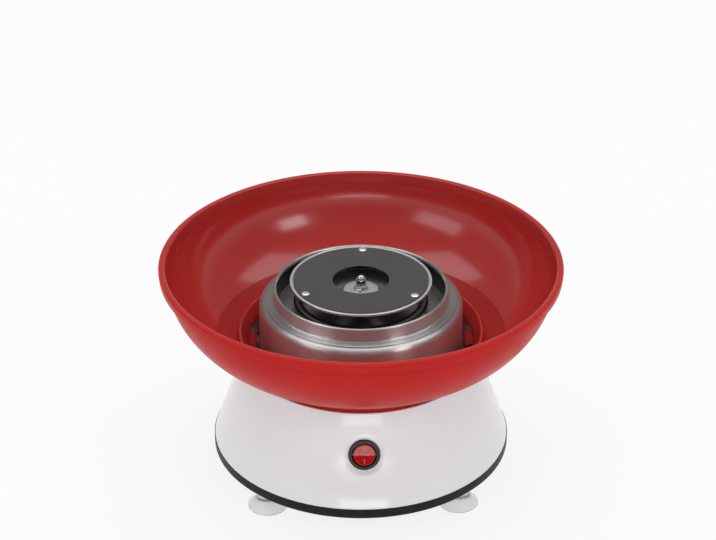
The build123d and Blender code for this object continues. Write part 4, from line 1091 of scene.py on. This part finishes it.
    def neck(self) -> bpy.types.Object:
        """Neck with its flange on the shoulder and a rolled rim."""
        inner = self.neck_r - self.sheet
        foot, rim = self.shoulder, self.neck_rim - self.rim_r
        turn = np.radians(np.linspace(-35, 215, 22))
        bead = np.column_stack([inner + self.rim_r * np.cos(turn), rim + self.rim_r * np.sin(turn)])
        lower = rounded(
            [(inner, foot + 3), (inner, foot), (self.flange_r, foot), (self.flange_r, foot + self.flange),
             (self.neck_r + 0.1, foot + self.flange), (self.neck_r, rim - 2)],
            [0, 0.1, 0.3, 0.4, 1.6, 0])
        neck = lathe("collar_neck", denser(np.vstack([lower, bead, lower[:1]]), 3.0)[:-1])
        return finish_piece(neck, Look.STEEL, "base", "steel", "neck_ring")

    def liner(self) -> bpy.types.Object:
        """Dark lining of the chamber with its upper edges eased."""
        low, high = extent("collar_liner")
        outer = high[0]
        profile = rounded_loop([(outer - self.liner_wall, low[2]), (outer, low[2]), (outer, high[2]),
                                (outer - self.liner_wall, high[2])], [0, 0, 0.3, 0.3], 3)
        return finish_piece(lathe("chamber_lining", profile), Look.STEEL_DARK, "base", "steel_dark", "collar_liner")

    def screw_grid(self) -> Array:
        """Domed screw head with a cross recess.

        The dome is z = h - (1 - cos(p)) scaled by radius; inside the cross, where |x| or |y| is under the
        blade's half width and the radius under the recess's, it is sunk by a depth that eases out.
        """
        steps, rings = 48, 16
        angle = np.linspace(0, 2 * math.pi, steps, endpoint=False)[:, None]
        share = np.linspace(0, 1, rings)[None]
        r = self.screw_r * share
        x, y = r * np.cos(angle), r * np.sin(angle)
        z = 0.45 + (self.screw_h - 0.45) * np.sqrt(1 - (0.98 * share) ** 2) + 0 * angle
        blade = np.minimum(np.abs(x), np.abs(y))
        cross = (1 - smoothstep(0.22, 0.36, blade)) * (1 - smoothstep(0.95, 1.25, np.hypot(x, y)))
        head = np.stack([x, y, z - 0.8 * cross], -1)
        skirt = np.array([[self.screw_r, 0.25], [self.screw_r - 0.15, 0.0], [1.2, 0.0], [1.2, -0.5], [0, -0.5]])
        side = turned(skirt, steps)
        return np.concatenate([head, side], axis=1)

    def screws(self) -> list[bpy.types.Object]:
        """One screw for each screw node, spaced evenly round the screw circle on the ledge."""
        grid = self.screw_grid()
        out = []
        for index, angle in enumerate(evenly(self.screw_count, self.screw_first), 1):
            turn = math.radians(40 * index)
            c, s = math.cos(turn), math.sin(turn)
            own = grid @ np.array([[c, s, 0], [-s, c, 0], [0, 0, 1]]) + [0, 0, self.ledge]
            place = spread_out(own, np.array([angle]), self.screw_circle)[0]
            screw = mesh_object(f"collar_screw_{index}", [Sheet(place)])
            out.append(finish_piece(screw, Look.CHROME, "base", "chrome", f"ledge_screw_{index}"))
        return out

    def build(self) -> list[bpy.types.Object]:
        """All pieces of the collar."""
        return [self.band(), self.neck(), self.liner(), *self.screws()]


# ---------------------------------------------------------------- head
@dataclass
class Head:
    """Spinning head: disc riveted over the flange of the cup, on a brass hub with its nuts."""

    top: float
    outer_r: float
    boss_top: float
    sheet: float = 0.8
    disc_r: float = 50.2
    hole_r: float = 21.0
    gap: float = 0.6
    cup_top_r: float = 44.2
    cup_bottom_r: float = 36.5
    cup_depth: float = 12.4
    lip: float = 2.1
    boss_r: float = 12.5
    boss_foot_r: float = 16.0
    rivet_circle: float = 46.3
    rivet_first: float = 87.0
    rivet_count: int = 3
    rivet_r: float = 3.0
    rivet_h: float = 0.8
    hub_r: float = 4.05
    hub_shoulder_r: float = 7.0
    hub_shoulder: float = 2.6
    hub_length: float = 27.0
    bore_r: float = 2.55
    slot_width: float = 2.2
    slot_depth: float = 6.0
    washer_r: float = 5.5
    washer: float = 0.8
    nut_flats: float = 7.0
    nut_height: float = 4.2
    cap_hex: float = 3.2
    dome_r: float = 2.85
    cap_top: float = 3.4

    @classmethod
    def from_frame(cls) -> Head:
        """Takes the disc's top, the rim and the boss from the frame."""
        _, disc = extent("head_disc")
        _, cup = extent("head_cup")
        washer, _ = extent("nut_washer")
        return cls(disc[2], cup[0], washer[2])

    def disc(self) -> bpy.types.Object:
        """Dark ring with its edges eased."""
        low = self.top - self.sheet
        profile = rounded_loop([(self.hole_r, low), (self.disc_r, low), (self.disc_r, self.top),
                                (self.hole_r, self.top)], [0.2, 0.2, 0.35, 0.35], 4)
        ring = denser(np.vstack([profile, profile[:1]]), 3.0)[:-1]
        return finish_piece(lathe("spinner_disc", ring), Look.DISC, "head", "disc_dark", "head_disc")

    def cup(self) -> bpy.types.Object:
        """Spun cup: rim, flange, sloping wall, floor and raised middle, all of one sheet."""
        top = self.top - self.sheet - self.gap
        low = self.top - self.cup_depth
        under = [(2.1, self.boss_top - self.sheet), (self.boss_r, self.boss_top - self.sheet),
                 (self.boss_foot_r, low), (self.cup_bottom_r, low), (self.cup_top_r, top - self.sheet),
                 (self.outer_r, top - self.sheet)]
        over = [(self.outer_r, self.top - 0.1), (self.outer_r - self.lip, self.top - 0.35),
                (self.outer_r - self.lip, top), (self.cup_top_r - 0.5, top), (self.cup_bottom_r - 0.5, low + self.sheet),
                (self.boss_foot_r + 0.4, low + self.sheet), (self.boss_r + 0.4, self.boss_top), (2.1, self.boss_top)]
        radii = [0, 2.2, 1.6, 3.4, 1.4, 0.5, 0.5, 0.3, 0.1, 2.2, 2.6, 2.4, 1.4, 0]
        profile = rounded_loop(under + over, radii, 8)
        cup = lathe("spinner_cup", denser(np.vstack([profile, profile[:1]]), 2.5)[:-1])
        finish_piece(cup, Look.ALU, "head", "head_alu", "head_cup")
        # underside and inner walls take the dark reddish metal: painted shade
        dress_part(cup, Look.CUP_PAINTED_SHADE, self.cup_faces_painted_shade)
        dress_part(cup, Look.CUP_FLOOR, self.faces_floor)
        return cup

    def cup_faces_painted_shade(self, middle: Array, normal: Array) -> Array:
        """Mask of the cup's underside and walls inside the bright rim, which take a dark reddish colour: painted
        shade.
        """
        radius = np.hypot(middle[:, 0], middle[:, 1])
        under = normal[:, 2] < 0.2
        wall = (radius > self.cup_bottom_r) & (radius < self.outer_r - 4.5)
        return (under & (radius < self.outer_r - self.lip - 0.3)) | wall

    def faces_floor(self, middle: Array, normal: Array) -> Array:
        """Mask of the cup's floor, which is satin."""
        return (normal[:, 2] > 0.2) & (np.hypot(middle[:, 0], middle[:, 1]) < self.cup_bottom_r)

    def rivets(self) -> list[bpy.types.Object]:
        """Flat domed rivets through the disc and the flange."""
        under = self.top - 2 * self.sheet - self.gap
        profile = rounded(
            [(0, under - 0.8), (1.8, under - 0.8), (1.8, under), (1.4, under), (1.4, self.top),
             (self.rivet_r, self.top), (self.rivet_r, self.top + 0.25), (1.6, self.top + self.rivet_h),
             (0, self.top + self.rivet_h)], [0, 0.4, 0.1, 0, 0, 0.1, 0.5, 1.6, 0], 5)
        grid = turned(profile, SMALL_ROUND)
        out = []
        places = spread_out(grid, evenly(self.rivet_count, self.rivet_first), self.rivet_circle)
        for index, place in enumerate(places, 1):
            rivet = mesh_object(f"disc_rivet_{index}", [Sheet(place)])
            out.append(finish_piece(rivet, Look.ALU, "head", "head_alu", f"head_rivet_{index}"))
        return out

    def hub(self) -> bpy.types.Object:
        """Brass sleeve with its shoulder and the slot for the drive pin."""
        shoulder = self.boss_top - self.sheet - self.hub_shoulder
        end = shoulder - self.hub_length
        stud = self.boss_top + self.washer + self.nut_height
        profile = rounded(
            [(0, shoulder), (self.bore_r, shoulder), (self.bore_r, end), (self.hub_r, end), (self.hub_r, shoulder),
             (self.hub_shoulder_r, shoulder), (self.hub_shoulder_r, shoulder + self.hub_shoulder),
             (2.0, shoulder + self.hub_shoulder), (2.0, stud), (0, stud)],
            [0, 0.1, 0.2, 0.6, 0.3, 0.4, 0.3, 0, 0.3, 0], 5)
        hub = lathe("spinner_hub", denser(profile, 2.5), 96, loop=False)
        half = self.slot_width / 2
        reach = 3 * self.hub_r
        corners = np.array([[-reach, -half], [reach, -half], [reach, half], [-reach, half]])
        levels = np.array([end - 2, end + self.slot_depth])
        box = np.concatenate([np.zeros((4, 1, 3)), np.zeros((4, 2, 3)), np.zeros((4, 1, 3))], axis=1)
        box[:, 1:3, :2] = corners[:, None]
        box[:, 0, 2] = box[:, 1, 2] = levels[0]
        box[:, 2, 2] = box[:, 3, 2] = levels[1]
        cut(hub, [mesh_object("slot_tool", [Sheet(box)])])
        return finish_piece(hub, Look.BRASS, "head", "brass", "head_hub")

    def hexagon(self, low: float, high: float, chamfer_low: float, chamfer_high: float) -> Array:
        """Hexagon nut with its corners turned off.

        The side's radius at angle a is f / cos(a'), where f is half the flats and a' the angle from
        the middle of the nearest flat; the conical chamfer lowers the edge by its excess over f.
        """
        flats = self.nut_flats / 2
        angle = np.linspace(0, 2 * math.pi, 96, endpoint=False)
        from_flat = (angle + math.pi / 6) % (math.pi / 3) - math.pi / 6
        side = flats / np.cos(from_flat)
        excess = (side - flats) * 0.58
        zero = np.zeros_like(side)
        face_r = np.full_like(side, flats * 0.97)
        radius = np.stack([zero, face_r, side, side, face_r, zero], 1)
        height = np.stack([zero + low, zero + low, low + excess * chamfer_low, high - excess * chamfer_high,
                           zero + high, zero + high], 1)
        grid = swept_radii(angle, radius, height)
        return grid

    def nuts(self) -> list[bpy.types.Object]:
        """Washer, lock nut and domed cap nut."""
        low = self.boss_top
        washer = lathe("hub_washer", rounded_loop(
            [(2.1, low), (self.washer_r, low), (self.washer_r, low + self.washer), (2.1, low + self.washer)],
            [0, 0.1, 0.3, 0], 4), SMALL_ROUND)
        nut_low = low + self.washer
        nut_top = nut_low + self.nut_height
        nut = mesh_object("hub_nut", [Sheet(self.hexagon(nut_low, nut_top, 0, 1))])
        hex_top = nut_top + self.cap_hex
        dome_z = self.top + self.cap_top - self.dome_r
        turn = np.radians(np.linspace(0, 90, 16))
        dome = np.column_stack([self.dome_r * np.cos(turn), dome_z + self.dome_r * np.sin(turn)])
        neck = rounded([(0, hex_top - 0.3), (self.dome_r + 0.25, hex_top - 0.3), (self.dome_r + 0.25, hex_top),
                        (self.dome_r, hex_top + 0.2), tuple(dome[0])], [0, 0.1, 0.3, 0.2, 0], 3)
        cap = mesh_object("hub_cap_nut", [
            Sheet(self.hexagon(nut_top + 0.02, hex_top, 1, 1)),
            Sheet(turned(np.vstack([neck[:-1], dome]), SMALL_ROUND)),
        ])
        return [finish_piece(washer, Look.CHROME, "head", "chrome", "nut_washer"),
                finish_piece(nut, Look.CHROME, "head", "chrome", "lock_nut"),
                finish_piece(cap, Look.CHROME, "head", "chrome", "cap_nut")]

    def build(self) -> list[bpy.types.Object]:
        """All pieces of the head."""
        return [self.disc(), self.cup(), self.hub(), *self.rivets(), *self.nuts()]


# ---------------------------------------------------------------- switch and inlet
@dataclass
class Switch:
    """Round rocker switch: bezel with its pocket, rocker with a shallow V face and its marks."""

    frame: SwitchFrame
    rim_r: float = 11.7
    rim_thick: float = 2.4
    rim_round: float = 1.1
    barrel_r: float = 9.9
    barrel: float = 14.0
    pocket_r: float = 8.5
    pocket: float = 6.2
    pivot: float = 0.2
    rocker_r: float = 8.2
    face: float = 2.4
    back: float = 3.4
    wing: float = 8.0
    crease: float = 0.5
    mark_reach: float = 4.2
    mark_line: float = 0.42
    mark_rise: float = 0.09

    def bezel(self) -> bpy.types.Object:
        """Turned bezel: eased rim outside, bevel into the pocket, barrel behind."""
        thick = self.rim_thick
        profile = rounded(
            [(0, -self.pocket), (self.pocket_r, -self.pocket), (self.pocket_r, thick - 0.9),
             (self.pocket_r + 0.9, thick), (self.rim_r, thick), (self.rim_r, 0), (self.barrel_r, 0),
             (self.barrel_r, -self.barrel), (0, -self.barrel)],
            [0, 0.2, 0.5, 0.5, self.rim_round, 0.1, 0.1, 0.4, 0], 7)
        grid = moved(turned(denser(profile, 2.0), 128), self.frame.centre, self.frame.axes)
        bezel = mesh_object("switch_rim", [Sheet(grid)])
        return finish_piece(bezel, Look.SWITCH_BLACK, "base", "switch_black", "switch_bezel")

    def rocker_axes(self) -> Array:
        """Axes of the rocker at rest: the face's frame tipped so that its upper half lies in."""
        tip = math.radians(-self.wing)
        across, up, out = self.frame.axes
        return np.array([across, up * math.cos(tip) + out * math.sin(tip), out * math.cos(tip) - up * math.sin(tip)])

    def rocker_place(self) -> Array:
        """Pivot of the rocker."""
        return self.frame.centre + self.frame.axes[2] * self.pivot

    def face_height(self, y: Array) -> Array:
        """Height of the V face: it climbs with |y|, softened by sqrt(y^2 + c^2) - c."""
        climb = np.sqrt(y ** 2 + self.crease ** 2) - self.crease
        return self.face + climb * math.tan(math.radians(self.wing))

    def rocker(self) -> bpy.types.Object:
        """Face, eased edge and the ball-shaped side, closed at the back."""
        steps = 128
        angle = np.linspace(0, 2 * math.pi, steps, endpoint=False)[:, None]
        edge = np.full((steps, 1), self.rocker_r * 0.93)
        for _ in range(4):
            edge = np.sqrt(self.rocker_r ** 2 - self.face_height(edge * np.sin(angle)) ** 2)
        share = np.sin(np.linspace(0, math.pi / 2, 28))[None]
        r = edge * share
        ease = 0.35 * smoothstep(0.93, 1.0, share + 0 * angle) ** 2
        top = np.stack([r * np.cos(angle), r * np.sin(angle), self.face_height(r * np.sin(angle)) - ease], -1)
        rim_z = self.face_height(edge * np.sin(angle)) - 0.55
        fall = np.linspace(0, 1, 16)[None]
        z = rim_z * (1 - fall) - self.back * fall
        ball = np.sqrt(self.rocker_r ** 2 - z ** 2)
        side = np.stack([ball * np.cos(angle), ball * np.sin(angle), z], -1)
        back = np.zeros((steps, 1, 3))
        back[..., 2] = -self.back
        grid = np.concatenate([top, side, back], axis=1)
        rocker = mesh_object("rocker_lens", [Sheet(moved(grid, self.rocker_place(), self.rocker_axes()))])
        # the rocker's upper half keeps the lighter, pinker red, a painted sheen; the lower half takes the deep red
        finish_piece(rocker, Look.SWITCH_RED_PAINTED_SHEEN, "rocker", "switch_red", "switch_rocker")
        up = self.rocker_axes()[1]
        dress_part(rocker, Look.SWITCH_DEEP, lambda middle, normal: (middle - self.rocker_place()) @ up < 0)
        return rocker

    def marks(self) -> bpy.types.Object:
        """O on the upper half and I on the lower, as thin raised lines that follow the face."""
        outline = np.linspace(0, 2 * math.pi, 48, endpoint=False)
        ring = np.stack([1.45 * np.cos(outline), 1.45 * np.sin(outline) + self.mark_reach], -1)
        half = 1.7
        bar = np.stack([np.zeros(12), np.linspace(half, -half, 12) - self.mark_reach], -1)
        sheets = []
        for line, loops in ((ring, True), (bar, False)):
            path = np.column_stack([line, self.face_height(line[:, 1]) + self.mark_rise * 0.3])
            if loops:
                outwards = np.column_stack([np.cos(outline), np.sin(outline), np.zeros(48)])
            else:
                outwards = np.tile([1.0, 0.0, 0.0], (12, 1))
            turn = np.linspace(0, 2 * math.pi, 10, endpoint=False)[None, :, None]
            up = np.array([0, 0, 1.0])
            section = outwards[:, None] * np.cos(turn) * self.mark_line / 2 + up * np.sin(turn) * self.mark_rise
            grid = path[:, None] + section
            if not loops:
                grid = np.concatenate([np.tile(path[:1, None], (1, 10, 1)), grid,
                                       np.tile(path[-1:, None], (1, 10, 1))], axis=0)
            sheets.append(Sheet(moved(grid, self.rocker_place(), self.rocker_axes()), loops, True))
        marks = mesh_object("rocker_marks", sheets)
        return finish_piece(marks, Look.MARK, "rocker", "switch_red")

    def build(self) -> list[bpy.types.Object]:
        """All pieces of the switch."""
        return [self.bezel(), self.rocker(), self.marks()]


@dataclass
class Gland:
    """Cord gland at the back: flange with an eased edge, collar and an open bore."""

    place: Array
    axes: Array
    flange_r: float = 9.0
    flange: float = 3.0
    body_r: float = 6.0
    body: float = 9.0
    bore_r: float = 3.3

    def build(self) -> list[bpy.types.Object]:
        """Turned gland in the housing's back wall."""
        profile = rounded_loop(
            [(self.bore_r, -self.body), (self.body_r, -self.body), (self.body_r, 0), (self.flange_r, 0),
             (self.flange_r, self.flange), (self.bore_r + 1.2, self.flange), (self.bore_r, self.flange - 1.2)],
            [0.2, 0.3, 0.1, 0.2, 1.2, 0.4, 0.4], 6)
        grid = moved(turned(profile, 96), self.place, self.axes)
        gland = mesh_object("inlet_gland", [Sheet(grid, True, True)])
        return [finish_piece(gland, Look.SWITCH_BLACK, "base", "switch_black", "cord_gland")]


# ---------------------------------------------------------------- carried-over nodes
class FrameFinishes:
    """Finishes of the frame's nodes whose shape stays as it is."""

    LOOKS: dict[Look, tuple[str, ...]] = {
        Look.PAN: ("base_pan", "cooling_fan"),
        Look.STEEL: ("chamber_floor", "heat_shield", "lower_strip", "upper_strip"),
        Look.HEATER: ("heater_ring",),
        Look.SHAFT: ("motor_shaft", "drive_pin", "rocker_pin", "cover_screw", "floor_post", "motor_bolt"),
        Look.BRASS: ("lower_bearing", "upper_bearing", "switch_terminal"),
        Look.LAMINATION: ("motor_stack", "motor_rotor"),
        Look.WINDING: ("field_coil",),
        Look.CERAMIC: ("heater_clip", "thermal_cutout", "terminal_block"),
        Look.RUBBER: ("motor_mount",),
    }

    def dress(self, nodes: dict[str, bpy.types.Object]) -> None:
        """Gives each node that stays its finish; a pattern's nodes share the name before the number."""
        for look, names in self.LOOKS.items():
            for name, obj in nodes.items():
                if name in names or name.rstrip("0123456789").rstrip("_") in names:
                    obj.data.materials.clear()
                    obj.data.materials.append(PAINT.of(look))
                    LOG.info("%s: %s", name, look.value.name)


# ---------------------------------------------------------------- studio
@dataclass
class PhotoCamera:
    """Camera of the photograph, in its frame of 716 by 540 pixels."""

    frame_width: float = 716.0
    focal: float = 2300.0          # pixels
    elevation: float = 28.917
    azimuth: float = 1.4           # degrees to the left of the front
    distance: float = 1704.07
    aim_height: float = 159.8
    aim_left: float = 2.2

    def build(self) -> bpy.types.Object:
        """Places the camera and makes it the scene's."""
        data = bpy.data.cameras.new("photo_camera")
        data.sensor_fit = "HORIZONTAL"
        data.sensor_width = 36.0
        data.lens = data.sensor_width * self.focal / self.frame_width
        data.clip_start, data.clip_end = 0.05, 50.0
        el, az = math.radians(self.elevation), math.radians(self.azimuth)
        away = Vector((-math.sin(az) * math.cos(el), -math.cos(az) * math.cos(el), math.sin(el)))
        aim = Vector((-self.aim_left * math.cos(az), 0, self.aim_height)) * MM
        camera = bpy.data.objects.new("photo_camera", data)
        camera.location = aim + away * self.distance * MM
        camera.rotation_euler = (-away).to_track_quat("-Z", "Y").to_euler()
        bpy.context.scene.collection.objects.link(camera)
        bpy.context.scene.camera = camera
        return camera


@dataclass
class SoftLamp:
    """Rectangular soft box that faces the machine."""

    name: str
    azimuth: float                 # degrees from the front, positive to the right
    elevation: float
    distance: float                # metres
    width: float
    height: float
    radiance: float

    def build(self, aim: Vector) -> bpy.types.Object:
        """Places the lamp; its power is radiance * pi * area."""
        az, el = math.radians(self.azimuth), math.radians(self.elevation)
        away = Vector((math.sin(az) * math.cos(el), -math.cos(az) * math.cos(el), math.sin(el)))
        data = bpy.data.lights.new(self.name, "AREA")
        data.shape = "RECTANGLE"
        data.size, data.size_y = self.width, self.height
        data.energy = self.radiance * math.pi * self.width * self.height
        lamp = bpy.data.objects.new(self.name, data)
        lamp.visible_camera = False
        lamp.location = aim + away * self.distance
        lamp.rotation_euler = (-away).to_track_quat("-Z", "Y").to_euler()
        bpy.context.scene.collection.objects.link(lamp)
        return lamp


@dataclass
class Studio:
    """White studio: floor that keeps the shadow, white surroundings and soft boxes."""

    ambient: float = 0.54
    fall: tuple[float, float] = (0.05, 0.42)
    above: float = 0.28
    floor_reach: float = 6.0
    floor_glow: float = 0.85
    lamps: list[SoftLamp] = field(default_factory=lambda: [
        SoftLamp("top_box", 0.0, 102.0, 1.6, 2.9, 1.0, 1.75),
        SoftLamp("left_box", -55.0, 28.0, 2.0, 1.0, 0.55, 2.3),
        SoftLamp("right_box", 46.0, 32.0, 2.0, 0.55, 0.45, 5.5),
        SoftLamp("front_box", 0.0, 4.0, 2.2, 1.35, 0.3, 4.2),
        SoftLamp("left_strip", -141.0, 7.0, 2.0, 0.25, 0.3, 6.0),
        SoftLamp("right_strip", 141.0, 7.0, 2.0, 0.25, 0.3, 6.0),
    ])

    def world(self) -> None:
        """Plain level for the light, white where the camera sees it.

        In a mirror or a clear piece its strength eases from 1 at the horizon to a lower level above.
        """
        world = bpy.data.worlds.new("studio")
        bpy.context.scene.world = world
        world.use_nodes = True
        nodes, links = world.node_tree.nodes, world.node_tree.links
        nodes.clear()
        path = nodes.new("ShaderNodeLightPath")
        seen = self.seen(nodes, links, path)
        plain = nodes.new("ShaderNodeBackground")
        plain.inputs[0].default_value = (1, 1, 1, 1)
        plain.inputs[1].default_value = self.ambient
        white = nodes.new("ShaderNodeBackground")
        white.inputs[0].default_value = (1, 1, 1, 1)
        place = nodes.new("ShaderNodeTexCoord")
        up = nodes.new("ShaderNodeSeparateXYZ")
        links.new(place.outputs["Generated"], up.inputs[0])
        fall = nodes.new("ShaderNodeMapRange")
        fall.interpolation_type = "SMOOTHSTEP"
        for index, number in enumerate((*self.fall, 1.0, self.above), 1):
            fall.inputs[index].default_value = number
        links.new(up.outputs[2], fall.inputs[0])
        links.new(self.larger(nodes, links, fall.outputs[0], path.outputs["Is Camera Ray"]), white.inputs[1])
        mix = nodes.new("ShaderNodeMixShader")
        links.new(seen, mix.inputs[0])
        links.new(plain.outputs[0], mix.inputs[1])
        links.new(white.outputs[0], mix.inputs[2])
        output = nodes.new("ShaderNodeOutputWorld")
        links.new(mix.outputs[0], output.inputs[0])

    def larger(self, nodes: bpy.types.Nodes, links: bpy.types.NodeLinks, a: bpy.types.NodeSocket,
               b: bpy.types.NodeSocket) -> bpy.types.NodeSocket:
        """Socket that is the larger of two."""
        node = nodes.new("ShaderNodeMath")
        node.operation = "MAXIMUM"
        links.new(a, node.inputs[0])
        links.new(b, node.inputs[1])
        return node.outputs[0]

    def seen(self, nodes: bpy.types.Nodes, links: bpy.types.NodeLinks, path: bpy.types.Node) -> object:
        """Socket that is 1 for camera, glossy and transmission rays."""
        total = path.outputs["Is Camera Ray"]
        for name in ("Is Glossy Ray", "Is Transmission Ray"):
            total = self.larger(nodes, links, total, path.outputs[name])
        return total

    def floor(self) -> bpy.types.Object:
        """Pale floor: part of it glows white where it is seen, the rest takes the shadow."""
        reach = np.array([-self.floor_reach, self.floor_reach]) / MM
        x, y = np.meshgrid(reach, reach, indexing="ij")
        floor = mesh_object("studio_floor", [Sheet(np.stack([x, y, 0 * x], -1), False, False)], closed=False)
        material = bpy.data.materials.new("studio floor")
        material.use_nodes = True
        nodes, links = material.node_tree.nodes, material.node_tree.links
        nodes.clear()
        path = nodes.new("ShaderNodeLightPath")
        seen = self.seen(nodes, links, path)
        share = nodes.new("ShaderNodeMath")
        share.operation = "MULTIPLY"
        share.inputs[1].default_value = self.floor_glow
        links.new(seen, share.inputs[0])
        plain = nodes.new("ShaderNodeBsdfDiffuse")
        plain.inputs[0].default_value = (0.86, 0.86, 0.86, 1)
        glow = nodes.new("ShaderNodeEmission")
        glow.inputs[1].default_value = 1.0
        mix = nodes.new("ShaderNodeMixShader")
        links.new(share.outputs[0], mix.inputs[0])
        links.new(plain.outputs[0], mix.inputs[1])
        links.new(glow.outputs[0], mix.inputs[2])
        output = nodes.new("ShaderNodeOutputMaterial")
        links.new(mix.outputs[0], output.inputs[0])
        floor.data.materials.append(material)
        return floor

    def build(self) -> None:
        """Sets up the surroundings, the floor and the lamps."""
        self.world()
        self.floor()
        aim = Vector((0, 0, 0.12))
        for lamp in self.lamps:
            lamp.build(aim)
        bpy.context.scene.view_settings.view_transform = "Standard"


def main() -> None:
    """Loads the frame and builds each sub-assembly in order."""
    logging.basicConfig(level=logging.INFO, format="%(name)s: %(message)s")
    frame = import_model()
    PhotoCamera().build()
    Studio().build()
    FrameFinishes().dress(frame["nodes"])
    Bowl.from_frame().build()
    switch = SwitchFrame.from_frame()
    housing = Housing.from_frame(switch)
    housing.build()
    Feet().build()
    Collar.from_frame().build()
    Head.from_frame().build()
    Switch(switch).build()
    Gland(housing.inlet_place(), housing.inlet_axes()).build()


if __name__ == "__main__":
    main()
